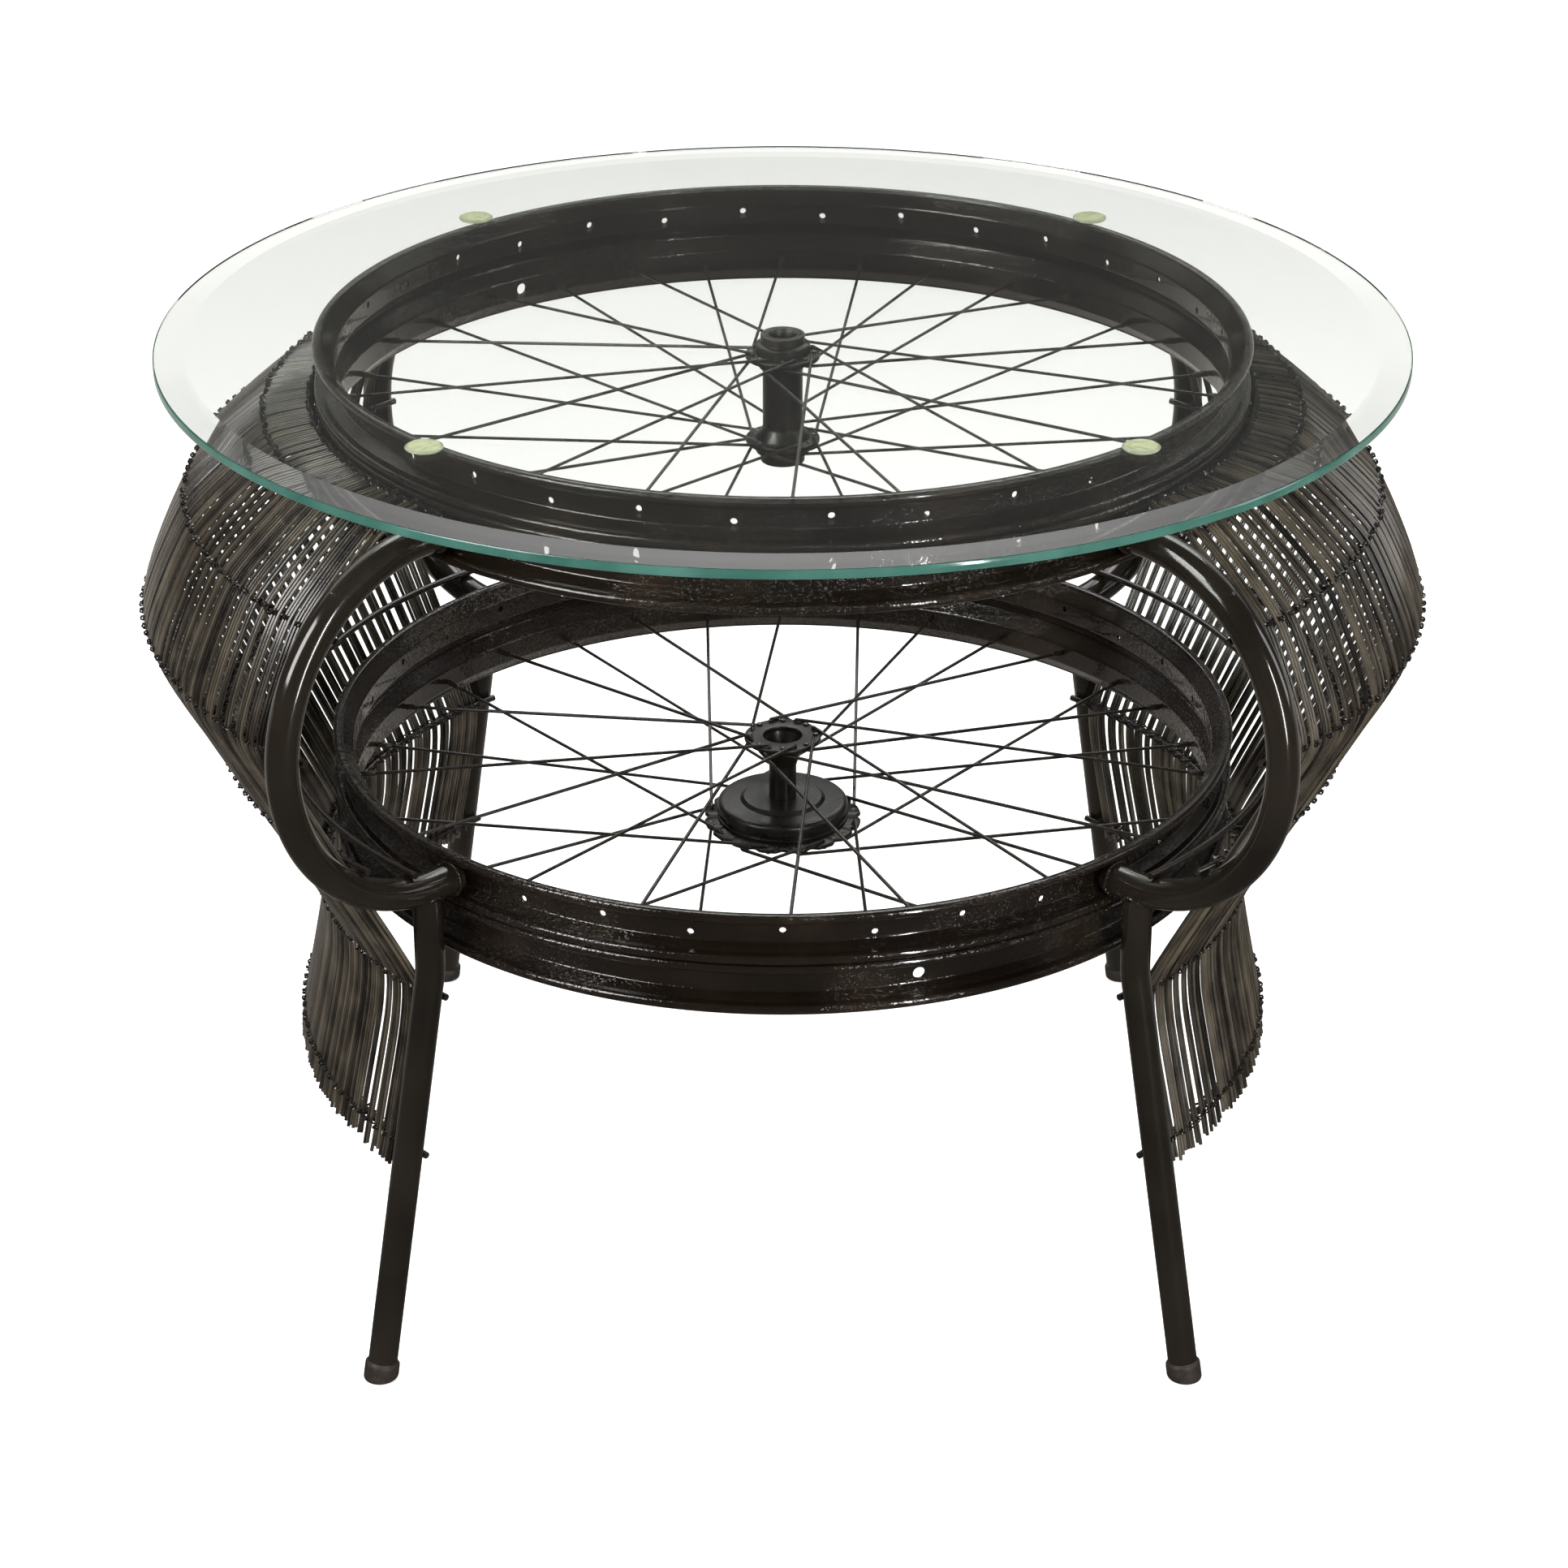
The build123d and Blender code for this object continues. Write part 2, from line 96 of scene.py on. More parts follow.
class HubSizes(PropertyGroup):
    upper_flange: length("Upper flange", "Diameter of the upper hub's flanges", 0.052)
    upper_gap: length("Flange gap", "Distance between the upper hub's flanges", 0.062)
    upper_lift: length("Lift", "Height of the upper hub above its wheel's middle", 0.0025)
    thickness: length("Flange thickness", "Thickness of every flange", 0.0035)
    barrel: length("Barrel", "Diameter of the upper barrel", 0.028)
    collar: length("Collar", "Diameter of the upper collars", 0.038)
    neck: length("Neck", "Diameter of the upper hub's ends", 0.031)
    bore: length("Bore", "Diameter of the upper hub's mouth", 0.025)
    lower_flange: length("Lower flange", "Diameter of the lower hub's top flange", 0.056)
    lower_rise: length("Rise", "Height of that flange above its wheel's middle", 0.0325)
    eye: length("Eye", "Diameter of the eye in that flange", 0.028)
    lower_barrel: length("Lower barrel", "Diameter of the lower barrel", 0.020)
    drum: length("Drum", "Diameter of the brake drum", 0.096)
    drum_drop: length("Drum drop", "Depth of the drum's top below its wheel's middle", 0.0145)
    drum_height: length("Drum height", "Height of the drum's wall", 0.014)
    ring: length("Ring", "Diameter of the raised ring on the drum", 0.062)
    ring_height: length("Ring height", "Height of the raised ring", 0.0025)
    plate: length("Plate", "Diameter of the large spoke flange", 0.115)


class TubeSizes(PropertyGroup):
    tube: length("Tube", "Diameter of the bent tubes", 0.0222)
    azimuth: turn("Azimuth", "Angle of a corner from the side", 46)
    reach: length("Reach", "Straight run outside the rims", 0.010)
    leg: length("Leg", "Diameter of a leg", 0.0205)
    leg_inset: length("Leg place", "Distance of a leg beyond the bend's start", 0.009)
    knee: length("Knee", "Height of the leg's bend", 0.300)
    foot: length("Foot", "Distance of a foot from the axis", 0.4056)
    cap: length("Cap", "Diameter of a foot cap", 0.0243)
    cap_height: length("Cap height", "Height of a foot cap", 0.012)


class CaneSizes(PropertyGroup):
    rod: length("Rod", "Diameter of the rods", 0.005)
    stub: length("Stub", "Length of a rod beyond its holder", -0.005)
    groups: count("Groups", "Groups of strands in a side", 50)
    strand: length("Strand", "Diameter of a strand", 0.0028)
    tail: length("Tail", "Strand below the lowest rod", 0.020)
    bow: length("Bow", "Depth of the straight run below the widest rod", 0.012)
    tie_wire: length("Tie wire", "Diameter of the tie wire", 0.0015)
    angle_b: turn("Second row", "Angle about the bend's centre", 45)
    angle_c: turn("Third row", "Angle about the bend's centre", 2)
    angle_d: turn("Fourth row", "Angle about the bend's centre", -55)
    angle_bare: turn("Bare row", "Angle about the bend's centre", -78)
    rise_a: length("First row's rise", "Distance of the first row outside the tube's middle", 0.005)
    reach_a: length("First row's reach", "Distance of the first row beyond the rims", 0.033)
    height_e: length("Fifth row", "Height of the fifth row", 0.277)
    height_f: length("Lowest row", "Height of the lowest row", 0.162)
    tuck: length("Tuck", "Depth by which the lowest row is bent flatter", 0.009)
    waist: length("Waist", "Height of the waist of the hem", 0.240)
    waist_tuck: length("Waist depth", "Depth of that waist", 0.008)


class GlassSizes(PropertyGroup):
    radius: length("Radius", "Radius of the glass", 0.4305)
    thickness: length("Thickness", "Thickness of the glass", 0.008)
    edge: length("Edge", "Thickness at the edge", 0.0062)
    bevel: length("Bevel", "Width of the ground bevel", 0.022)
    pad: length("Pad", "Diameter of a pad", 0.026)
    pad_height: length("Pad height", "Height of a pad", 0.0026)
    pad_reach: length("Pad place", "Distance of a pad's centre beyond the rims", 0.005)


class StageSizes(PropertyGroup):
    distance: length("Distance", "Distance of the camera from its target", 2.894)
    elevation: turn("Elevation", "Height of the camera above the horizon", 25.92)
    target: length("Target", "Height of the camera's target", 0.3198)
    lens: number("Lens", "Focal length in millimetres on a 36 mm sensor", 90.71)
    shift: number("Shift", "Sideways shift of the picture", 0.00083)
    floor: length("Floor", "Half width of the floor", 14.0)


class Place:
    """Sizes worked out from the property groups, as heights and radii about the wheels' axis."""

    def __init__(self, scene):
        self.wheel, self.hub, self.tubes = scene.table_wheels, scene.table_hubs, scene.table_tubes
        self.cane, self.glass, self.stage = scene.table_cane, scene.table_glass, scene.table_stage
        w, t, c, g = self.wheel, self.tubes, self.cane, self.glass
        self.low_spoked = w.lower_height + w.width / 2
        self.low_open = self.low_spoked + w.width
        self.high_spoked = w.upper_height + w.width / 2
        self.high_open = self.high_spoked + w.width
        self.top = self.high_open + w.width / 2
        self.well = w.radius - w.channel_depth - w.sheet
        self.bend_r = w.radius + t.reach
        self.bend_z = (self.high_spoked + self.low_open) / 2
        self.bend = (self.high_spoked - self.low_open) / 2
        self.leg_r = self.bend_r + t.leg_inset
        self.lean = (t.foot - self.leg_r) / t.knee
        self.gap = 0.0003
        self.inner = self.bend - t.tube / 2 - c.rod / 2 - self.gap
        self.glass_low = self.top + g.pad_height

    def bend_point(self, angle, reach):
        """Radius and height of a point about the bend's centre."""
        return (self.bend_r + reach * math.cos(angle), self.bend_z + reach * math.sin(angle))

    def leg_side(self, z):
        """Radius of a rod that lies against the inner side of the leg."""
        slope = math.hypot(1, self.lean)
        return self.tubes.foot - self.lean * z - (self.tubes.leg / 2 + self.cane.rod / 2 + self.gap) * slope

    def rows(self):
        """Radius and height of each rod, by name."""
        c, w = self.cane, self.wheel
        flank = self.bend + c.rise_a
        first = math.acos((c.reach_a - self.tubes.reach) / flank)
        return {
            "top": (w.radius + c.rod / 2 + self.gap, self.high_spoked + w.width / 2 - w.bead_width - c.rod / 2),
            "a": self.bend_point(first, flank),
            "b": self.bend_point(c.angle_b, self.inner),
            "c": self.bend_point(c.angle_c, self.inner),
            "d": self.bend_point(c.angle_d, self.inner),
            "bare": self.bend_point(c.angle_bare, self.inner),
            "e": (self.leg_side(c.height_e), c.height_e),
        }

    def apron(self):
        """Middle radius, centre and bend radius of the lowest rod."""
        side = self.leg_side(self.cane.height_f)
        middle = side - self.cane.tuck
        x, y = side * math.cos(self.tubes.azimuth), side * math.sin(self.tubes.azimuth)
        centre = (x * x + y * y - middle * middle) / (2 * (x - middle))
        return middle, centre, middle - centre

    def apron_radius(self, angle):
        """Distance of the lowest rod from the axis at an azimuth."""
        _, centre, bend = self.apron()
        return centre * math.cos(angle) + math.sqrt(bend ** 2 - (centre * math.sin(angle)) ** 2)

    def cane_line(self, angle):
        """Line through the rods that one pair of strands follows."""
        c, rows = self.cane, self.rows()
        low = self.apron_radius(angle)
        reach = math.hypot(rows["c"][0] - self.bend_r, rows["c"][1] - self.bend_z)
        bow = self.bend_point((c.angle_c + c.angle_d) / 2, reach - c.bow)
        waist = (rows["e"][0] + low) / 2 - c.waist_tuck
        flare = (low - waist) / (c.waist - c.height_f)
        return [rows["top"], rows["a"], rows["b"], rows["c"], bow, rows["d"], rows["e"], (waist, c.waist),
                (low, c.height_f), (low + c.tail * flare, c.height_f - c.tail)]

    def kept(self, points):
        """Points kept inside the table's width, which the widest strands set."""
        limit = self.rows()["c"][0] + self.cane.rod / 2 + self.gap + self.cane.strand + 0.0009
        points[..., 0] = np.clip(points[..., 0], -limit, limit)
        return points

    def span(self):
        """Half angle that the strands of one side cover."""
        c, t = self.cane, self.tubes
        return t.azimuth - (t.tube / 2 + c.strand + c.rod) / (self.bend_r + self.bend)

    def groups(self):
        """Azimuths of the groups of strands of one side."""
        return np.linspace(-self.span(), self.span(), self.cane.groups)


class Shell:
    """Collects grids of points into one mesh of quads."""

    def __init__(self):
        self.points, self.faces, self.tones, self.total = [], [], [], 0

    def grid(self, points, close_rows=False, close_columns=False, caps=False, tone=0.0):
        """Quads between neighbouring points of a rows by columns grid, with flat ends and a tone if asked."""
        points = np.asarray(points, float)
        rows, columns = points.shape[:2]
        index = np.arange(rows * columns).reshape(rows, columns) + self.total
        if close_rows:
            index = np.vstack([index, index[:1]])
        if close_columns:
            index = np.hstack([index, index[:, :1]])
        quads = np.stack([index[:-1, :-1], index[:-1, 1:], index[1:, 1:], index[1:, :-1]], axis=-1)
        self.faces += quads.reshape(-1, 4).tolist()
        if caps:
            ring = index[:, :-1] if close_columns else index
            self.faces += [ring[0][::-1].tolist(), ring[-1].tolist()]
        self.points.append(points.reshape(-1, 3))
        self.tones.append(np.full(rows * columns, tone))
        self.total += rows * columns
        return self

    def mesh(self, name):
        """The mesh, with its faces turned outward and merged where points meet."""
        mesh = bpy.data.meshes.new(name)
        mesh.from_pydata(np.vstack(self.points).tolist(), [], self.faces)
        made = bmesh.new()
        made.from_mesh(mesh)
        bmesh.ops.recalc_face_normals(made, faces=made.faces)
        made.to_mesh(mesh)
        made.free()
        tones = np.concatenate(self.tones)
        if tones.any():
            mesh.attributes.new("tone", "FLOAT", "POINT").data.foreach_set("value", tones)
        return mesh


def show(name, shape, paint, body, *nodes, sharp=50):
    """Put a mesh in the scene, painted, riding on its body and standing for its nodes."""
    mesh = shape.mesh(name) if isinstance(shape, Shell) else shape
    mesh.polygons.foreach_set("use_smooth", [True] * len(mesh.polygons))
    mesh.set_sharp_from_angle(angle=math.radians(sharp))
    piece = bpy.data.objects.new(name, mesh)
    bpy.context.scene.collection.objects.link(piece)
    mesh.materials.append(paint)
    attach(piece, body)
    if nodes:
        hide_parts(*nodes)
    return piece


def polar(r, angle, z, axis_y=0.0):
    """Points from radii, azimuths and heights."""
    r, angle, z = np.broadcast_arrays(r, angle, z)
    return np.stack([r * np.cos(angle), r * np.sin(angle) + axis_y, z], axis=-1)


def lathe(profile, segments, axis_y=0.0):
    """Grid made by turning radius and height pairs about the vertical axis."""
    profile = np.asarray(profile, float)
    angle = np.linspace(0, 2 * math.pi, segments, endpoint=False)
    return polar(profile[:, :1], angle[None, :], profile[:, 1:], axis_y)


def rounded(points, radius, steps=4, closed=True):
    """Outline whose corners are arcs of one radius, or of one radius each."""
    points = [np.asarray(p, float) for p in points]
    radii = [radius] * len(points) if np.isscalar(radius) else list(radius)
    made = []
    for index, (point, r) in enumerate(zip(points, radii)):
        before, after = points[index - 1], points[(index + 1) % len(points)]
        if r <= 0 or (not closed and index in (0, len(points) - 1)):
            made.append(point)
            continue
        a, b = before - point, after - point
        a_len, b_len = np.linalg.norm(a), np.linalg.norm(b)
        a, b = a / a_len, b / b_len
        half = math.acos(np.clip(a @ b, -0.9999, 0.9999)) / 2
        cut = min(r / math.tan(half), a_len * 0.49, b_len * 0.49)
        middle = point + (a + b) / np.linalg.norm(a + b) * cut / math.cos(half)
        first, last = point + a * cut - middle, point + b * cut - middle
        for share in np.linspace(0, 1, steps + 1):
            way = first * (1 - share) + last * share
            made.append(middle + way / np.linalg.norm(way) * np.linalg.norm(first))
    return np.array(made)


def offset(points, distance):
    """Line beside another on its outer side, with mitred corners."""
    points = np.asarray(points, float)
    step = np.diff(points, axis=0)
    step /= np.linalg.norm(step, axis=1)[:, None]
    normal = np.stack([-step[:, 1], step[:, 0]], axis=1)
    first, last = np.vstack([normal[:1], normal]), np.vstack([normal, normal[-1:]])
    both = first + last
    both /= np.linalg.norm(both, axis=1)[:, None]
    return points + both * distance / (both * first).sum(axis=1)[:, None]


def smooth(points, steps):
    """Curve through the points, with some steps a span, that keeps near each span's line."""
    p = np.asarray(points, float)
    p = np.vstack([2 * p[0] - p[1], p, 2 * p[-1] - p[-2]])
    t = np.linspace(0, 1, steps, endpoint=False)[:, None]
    spans = []
    for a, b, c, d in zip(p, p[1:], p[2:], p[3:]):
        span = np.linalg.norm(c - b)
        start = (c - a) / np.linalg.norm(c - a) * span * 0.55
        end = (d - b) / np.linalg.norm(d - b) * span * 0.55
        spans.append((2 * t ** 3 - 3 * t ** 2 + 1) * b + (t ** 3 - 2 * t ** 2 + t) * start
                     + (3 * t ** 2 - 2 * t ** 3) * c + (t ** 3 - t ** 2) * end)
    return np.vstack(spans + [p[-2:-1]])


def pipe(path, radius, sides, closed=False, twist=0.0):
    """Rings round a path, carried along it without twist; radius may change along the path."""
    path = np.asarray(path, float)
    radius = np.broadcast_to(radius, len(path))
    if closed:
        way = np.roll(path, -1, axis=0) - np.roll(path, 1, axis=0)
    else:
        way = np.gradient(path, axis=0)
    way /= np.linalg.norm(way, axis=1)[:, None]
    normal = np.cross(way[0], [0.3, 0.5, 0.81])
    normals = []
    for direction in way:
        normal = normal - direction * (normal @ direction)
        normal = normal / np.linalg.norm(normal)
        normals.append(normal)
    normals = np.array(normals)
    third = np.cross(way, normals)
    angle = np.linspace(0, 2 * math.pi, sides, endpoint=False) + twist
    ring = (np.cos(angle)[None, :, None] * normals[:, None, :] + np.sin(angle)[None, :, None] * third[:, None, :])
    return path[:, None, :] + ring * radius[:, None, None]


def arc_path(radius, z, half, steps, centre=0.0, heading=0.0, axis_y=0.0):
    """Level arc about a point on the side's axis, turned to its heading."""
    angle = np.linspace(-half, half, steps)
    x, y = centre + radius * np.cos(angle), radius * np.sin(angle)
    return np.stack([x * math.cos(heading) - y * math.sin(heading),
                     x * math.sin(heading) + y * math.cos(heading) + axis_y, np.full(steps, z)], axis=1)


def upright(points, azimuth, axis_y):
    """Points of radius and height stood up in the radial plane at an azimuth."""
    points = np.asarray(points, float)
    return polar(points[:, 0], azimuth, points[:, 1], axis_y)


# Materials

def node(tree, kind, inputs=None, **settings):
    """Add a shader node, set it up and join or set its inputs."""
    made = tree.nodes.new(kind)
    for key, value in settings.items():
        setattr(made, key, value)
    for key, value in (inputs or {}).items():
        if isinstance(value, bpy.types.NodeSocket):
            tree.links.new(value, made.inputs[key])
        else:
            made.inputs[key].default_value = value
    return made


def paint(name, slot, roughness=0.3, metallic=0.0, coat=0.0, **constants):
    """New material with one principled shader, and its tree."""
    made = bpy.data.materials.new(name)
    made.use_nodes = True
    made["slot"] = slot
    tree = made.node_tree
    shader = tree.nodes["Principled BSDF"]
    shader.inputs["Roughness"].default_value = roughness
    shader.inputs["Metallic"].default_value = metallic
    shader.inputs["Coat Weight"].default_value = coat
    for key, value in constants.items():
        shader.inputs[key.replace("_", " ")].default_value = value
    return made, tree, shader


def noise(tree, scale, detail=3.0, stretch=None, **inputs):
    """Noise in object space, stretched if asked."""
    place = node(tree, "ShaderNodeTexCoord").outputs["Object"]
    if stretch:
        place = node(tree, "ShaderNodeMapping", {"Vector": place, "Scale": stretch}).outputs["Vector"]
    return node(tree, "ShaderNodeTexNoise", {"Vector": place, "Scale": scale, "Detail": detail, **inputs})


def ramp(tree, value, *stops):
    """Colour ramp with stops of place and colour."""
    made = node(tree, "ShaderNodeValToRGB", {"Fac": value})
    made.color_ramp.elements[0].position, made.color_ramp.elements[0].color = stops[0][0], (*stops[0][1], 1)
    made.color_ramp.elements[1].position, made.color_ramp.elements[1].color = stops[-1][0], (*stops[-1][1], 1)
    for place, colour in stops[1:-1]:
        made.color_ramp.elements.new(place).color = (*colour, 1)
    return made.outputs["Color"]


def span(tree, value, low, high, to_low, to_high):
    """Value mapped from one range to another and kept inside it."""
    return node(tree, "ShaderNodeMapRange", {"Value": value, "From Min": low, "From Max": high,
                                             "To Min": to_low, "To Max": to_high}).outputs["Result"]


def bump(tree, height, distance, strength=1.0, normal=None):
    """Bump of a real height in metres."""
    inputs = {"Height": height, "Distance": distance, "Strength": strength}
    if normal:
        inputs["Normal"] = normal
    return node(tree, "ShaderNodeBump", inputs).outputs["Normal"]


def mirror_ray(tree):
    """One for a ray that a surface has mirrored, nought for every other ray."""
    path = node(tree, "ShaderNodeLightPath")
    made = node(tree, "ShaderNodeMath", {0: path.outputs["Is Glossy Ray"], 1: path.outputs["Is Transmission Ray"]},
                operation="SUBTRACT", use_clamp=True)
    return made.outputs["Value"]


def grey(value, warm=0.0):
    """Neutral or slightly warm colour."""
    return (value * (1 + warm), value, value * (1 - warm))


def rim_paint():
    """Black enamel over pitted, once rusted steel."""
    made, tree, shader = paint("rim_enamel", "black_enamel", coat=0.35, Coat_Roughness=0.06)
    blotch = noise(tree, 14, 4).outputs["Fac"]
    pits = noise(tree, 420, 3).outputs["Fac"]
    lumps = noise(tree, 130, 3).outputs["Fac"]
    tree.links.new(ramp(tree, blotch, (0.3, (0.004, 0.0025, 0.0015)), (0.55, (0.008, 0.0055, 0.0035)),
                        (0.8, (0.022, 0.014, 0.008))), shader.inputs["Base Color"])
    tree.links.new(span(tree, blotch, 0.3, 0.75, 0.06, 0.15), shader.inputs["Roughness"])
    patches = span(tree, noise(tree, 7, 3).outputs["Fac"], 0.45, 0.62, 0.12, 1.0)
    under = bump(tree, lumps, 0.0007, patches)
    dents = span(tree, pits, 0.52, 0.62, 0, 1)
    pitted = bump(tree, dents, 0.0005, patches, under)
    tree.links.new(pitted, shader.inputs["Normal"])
    tree.links.new(pitted, shader.inputs["Coat Normal"])
    return made


def tube_paint():
    """Smooth black gloss enamel."""
    made, tree, shader = paint("tube_enamel", "black_tube", coat=0.3, Coat_Roughness=0.05)
    blotch = noise(tree, 9, 3).outputs["Fac"]
    ripple = noise(tree, 60, 2).outputs["Fac"]
    tree.links.new(ramp(tree, blotch, (0.35, (0.005, 0.0040, 0.0028)), (0.75, (0.014, 0.0105, 0.0070))), shader.inputs["Base Color"])
    tree.links.new(span(tree, blotch, 0.3, 0.7, 0.08, 0.16), shader.inputs["Roughness"])
    tree.links.new(bump(tree, ripple, 0.0002, 0.5), shader.inputs["Normal"])
    return made


def rod_paint():
    """Black gloss enamel on thin rod, slightly uneven."""
    made, tree, shader = paint("rod_enamel", "black_rod", roughness=0.22, coat=0.3)
    grain = noise(tree, 240, 2).outputs["Fac"]
    tree.links.new(ramp(tree, grain, (0.3, (0.006, 0.004, 0.003)), (0.7, (0.020, 0.015, 0.011))), shader.inputs["Base Color"])
    tree.links.new(bump(tree, grain, 0.0002, 0.6), shader.inputs["Normal"])
    return made


def wire_paint():
    """Black satin enamel on wire."""
    made, tree, shader = paint("wire_enamel", "dark_wire", roughness=0.26, coat=0.2)
    grain = noise(tree, 180, 2).outputs["Fac"]
    tree.links.new(ramp(tree, grain, (0.3, (0.006, 0.005, 0.004)), (0.7, (0.022, 0.017, 0.013))), shader.inputs["Base Color"])
    tree.links.new(bump(tree, grain, 0.00015, 0.6), shader.inputs["Normal"])
    return made


def hub_paint():
    """Satin black enamel on turned steel, a little worn."""
    made, tree, shader = paint("hub_enamel", "dark_hub", coat=0.15, Coat_Roughness=0.12)
    blotch = noise(tree, 55, 4).outputs["Fac"]
    grain = noise(tree, 500, 2).outputs["Fac"]
    tree.links.new(ramp(tree, blotch, (0.3, (0.004, 0.003, 0.002)), (0.6, (0.010, 0.007, 0.005)), (0.85, (0.036, 0.026, 0.017))),
                   shader.inputs["Base Color"])
    tree.links.new(span(tree, blotch, 0.3, 0.75, 0.26, 0.45), shader.inputs["Roughness"])
    tree.links.new(bump(tree, grain, 0.0002, 0.7), shader.inputs["Normal"])
    return made


def cane_paint():
    """Dark brown-grey cane with lengthwise grain and paler worn streaks."""
    made, tree, shader = paint("dark_cane", "cane", coat=0.5, Coat_Roughness=0.12)
    shade = node(tree, "ShaderNodeAttribute", attribute_name="tone").outputs["Fac"]
    along = span(tree, noise(tree, 40, 3).outputs["Fac"], 0.3, 0.7, 0.28, 0.44)
    tone = node(tree, "ShaderNodeMath", {0: shade, 1: 0.26, 2: along}, operation="MULTIPLY_ADD").outputs["Value"]
    grain = noise(tree, 900, 3, (1, 1, 0.05)).outputs["Fac"]
    tree.links.new(ramp(tree, tone, (0.36, (0.006, 0.0045, 0.003)), (0.5, (0.028, 0.022, 0.015)),
                        (0.66, (0.085, 0.068, 0.046))), shader.inputs["Base Color"])
    tree.links.new(span(tree, tone, 0.3, 0.8, 0.24, 0.42), shader.inputs["Roughness"])
    tree.links.new(bump(tree, grain, 0.0003, 0.8), shader.inputs["Normal"])
    return made


def rubber_paint():
    """Dark brown rubber."""
    made, tree, shader = paint("brown_rubber", "foot_rubber", roughness=0.55)
    tone = noise(tree, 160, 4).outputs["Fac"]
    tree.links.new(ramp(tree, tone, (0.3, (0.012, 0.008, 0.006)), (0.75, (0.034, 0.021, 0.015))),
                   shader.inputs["Base Color"])
    tree.links.new(bump(tree, tone, 0.0003, 0.6), shader.inputs["Normal"])
    return made


def clear(made, tree, shader, share=1.0):
    """Let lamps shine through a clear material, which would otherwise cast a full shadow."""
    path = node(tree, "ShaderNodeLightPath")
    through = node(tree, "ShaderNodeBsdfTransparent", {"Color": (0.96, 0.98, 0.97, 1)})
    fact = node(tree, "ShaderNodeMath", {0: path.outputs["Is Shadow Ray"], 1: share}, operation="MULTIPLY")
    mixed = node(tree, "ShaderNodeMixShader", {"Fac": fact.outputs["Value"], 1: shader.outputs["BSDF"],
                                               2: through.outputs["BSDF"]})
    tree.links.new(mixed.outputs["Shader"], tree.nodes["Material Output"].inputs["Surface"])
    return made


def glass_paint():
    """Clear float glass, green through its depth."""
    made, tree, shader = paint("table_glass", "clear_glass", roughness=0.0, IOR=1.52, Transmission_Weight=1.0)
    dust = noise(tree, 6, 2).outputs["Fac"]
    tree.links.new(ramp(tree, dust, (0.3, (0.99, 0.985, 0.950)), (0.7, (1.0, 0.995, 0.958))),
                   shader.inputs["Base Color"])
    depth = node(tree, "ShaderNodeVolumeAbsorption")
    depth.inputs["Color"].default_value = (0.40, 0.86, 0.66, 1)
    depth.inputs["Density"].default_value = 4.0
    tree.links.new(depth.outputs["Volume"], tree.nodes["Material Output"].inputs["Volume"])
    return clear(made, tree, shader)


def edge_paint():
    """Deep green of the glass seen through its edge."""
    made, tree, shader = paint("green_edge", "clear_glass", roughness=0.12, IOR=1.52, Transmission_Weight=0.35)
    tone = noise(tree, 25, 3, (1, 1, 0.2)).outputs["Fac"]
    tree.links.new(ramp(tree, tone, (0.3, (0.032, 0.115, 0.090)), (0.7, (0.080, 0.205, 0.165))),
                   shader.inputs["Base Color"])
    return clear(made, tree, shader, 0.5)


def pad_paint():
    """Clear soft plastic with a yellow-green cast."""
    made, tree, shader = paint("pad_plastic", "clear_pad", roughness=0.18, IOR=1.45, Transmission_Weight=0.75)
    tone = noise(tree, 200, 2).outputs["Fac"]
    tree.links.new(ramp(tree, tone, (0.3, (0.60, 0.62, 0.45)), (0.7, (0.78, 0.78, 0.62))),
                   shader.inputs["Base Color"])
    tree.links.new(bump(tree, tone, 0.0003, 0.5), shader.inputs["Normal"])
    return clear(made, tree, shader, 0.7)


def floor_paint():
    """Plain pale floor with a trace of unevenness; in mirrored rays it is painted near black in front and pale behind,
    a painted reflection on the gloss parts.
    """
    made, tree, shader = paint("pale_floor", "", roughness=0.85, Emission_Color=(1, 1, 1, 1))
    mirrored = mirror_ray(tree)
    seen = node(tree, "ShaderNodeLightPath").outputs["Is Camera Ray"]
    strength = node(tree, "ShaderNodeMath", {0: span(tree, seen, 0, 1, 0, 0.55), 1: span(tree, mirrored, 0, 1, 0.20, 0.01)},
                    operation="MAXIMUM")
    tree.links.new(strength.outputs["Value"], shader.inputs["Emission Strength"])
    tone = noise(tree, 3, 2).outputs["Fac"]
    pale = ramp(tree, tone, (0.3, grey(0.90)), (0.7, grey(0.915)))
    # Painted reflection: to mirrored rays the floor's colour runs from near black in front to pale towards the back,
    # so gloss parts show a dark-to-light reflection.
    where = node(tree, "ShaderNodeTexCoord").outputs["Object"]
    painted_reflection_fade = span(tree, node(tree, "ShaderNodeSeparateXYZ", {"Vector": where}).outputs["Y"], -0.2, 2.2, 0, 1)
    painted_reflection_tone = ramp(tree, painted_reflection_fade, (0, (0.028, 0.025, 0.021)), (1, (0.70, 0.66, 0.60)))
    tree.links.new(node(tree, "ShaderNodeMix", {"Factor": mirrored, "A": pale, "B": painted_reflection_tone},
                        data_type="RGBA").outputs["Result"], shader.inputs["Base Color"])
    return made


# Wheels

def rim_profile(place, middle):
    """Section of a rim: rolled beads, sloping channel walls, flat well."""
    w = place.wheel
    half = w.width / 2
    bead = w.bead_depth * 0.49
    upper = [
        (w.radius - w.channel_depth, w.channel_floor / 2, 0.002),
        (w.radius - w.bead_depth, half - w.bead_width, 0.0015),
        (w.radius, half - w.bead_width + 0.0003, bead),
        (w.radius, half, bead),
        (w.radius - w.bead_depth, half - 0.0002, 0.0022),
        (w.radius - w.bead_depth - 0.0006, half - 0.0022, 0.0008),
        (place.well, w.channel_floor / 2 + w.sheet / 2, 0.004),
    ]
    lower = [(r, -z, k) for r, z, k in reversed(upper)]
    outline = rounded([(r, middle + z) for r, z, _ in upper + lower], [k for *_, k in upper + lower], 5)
    return outline


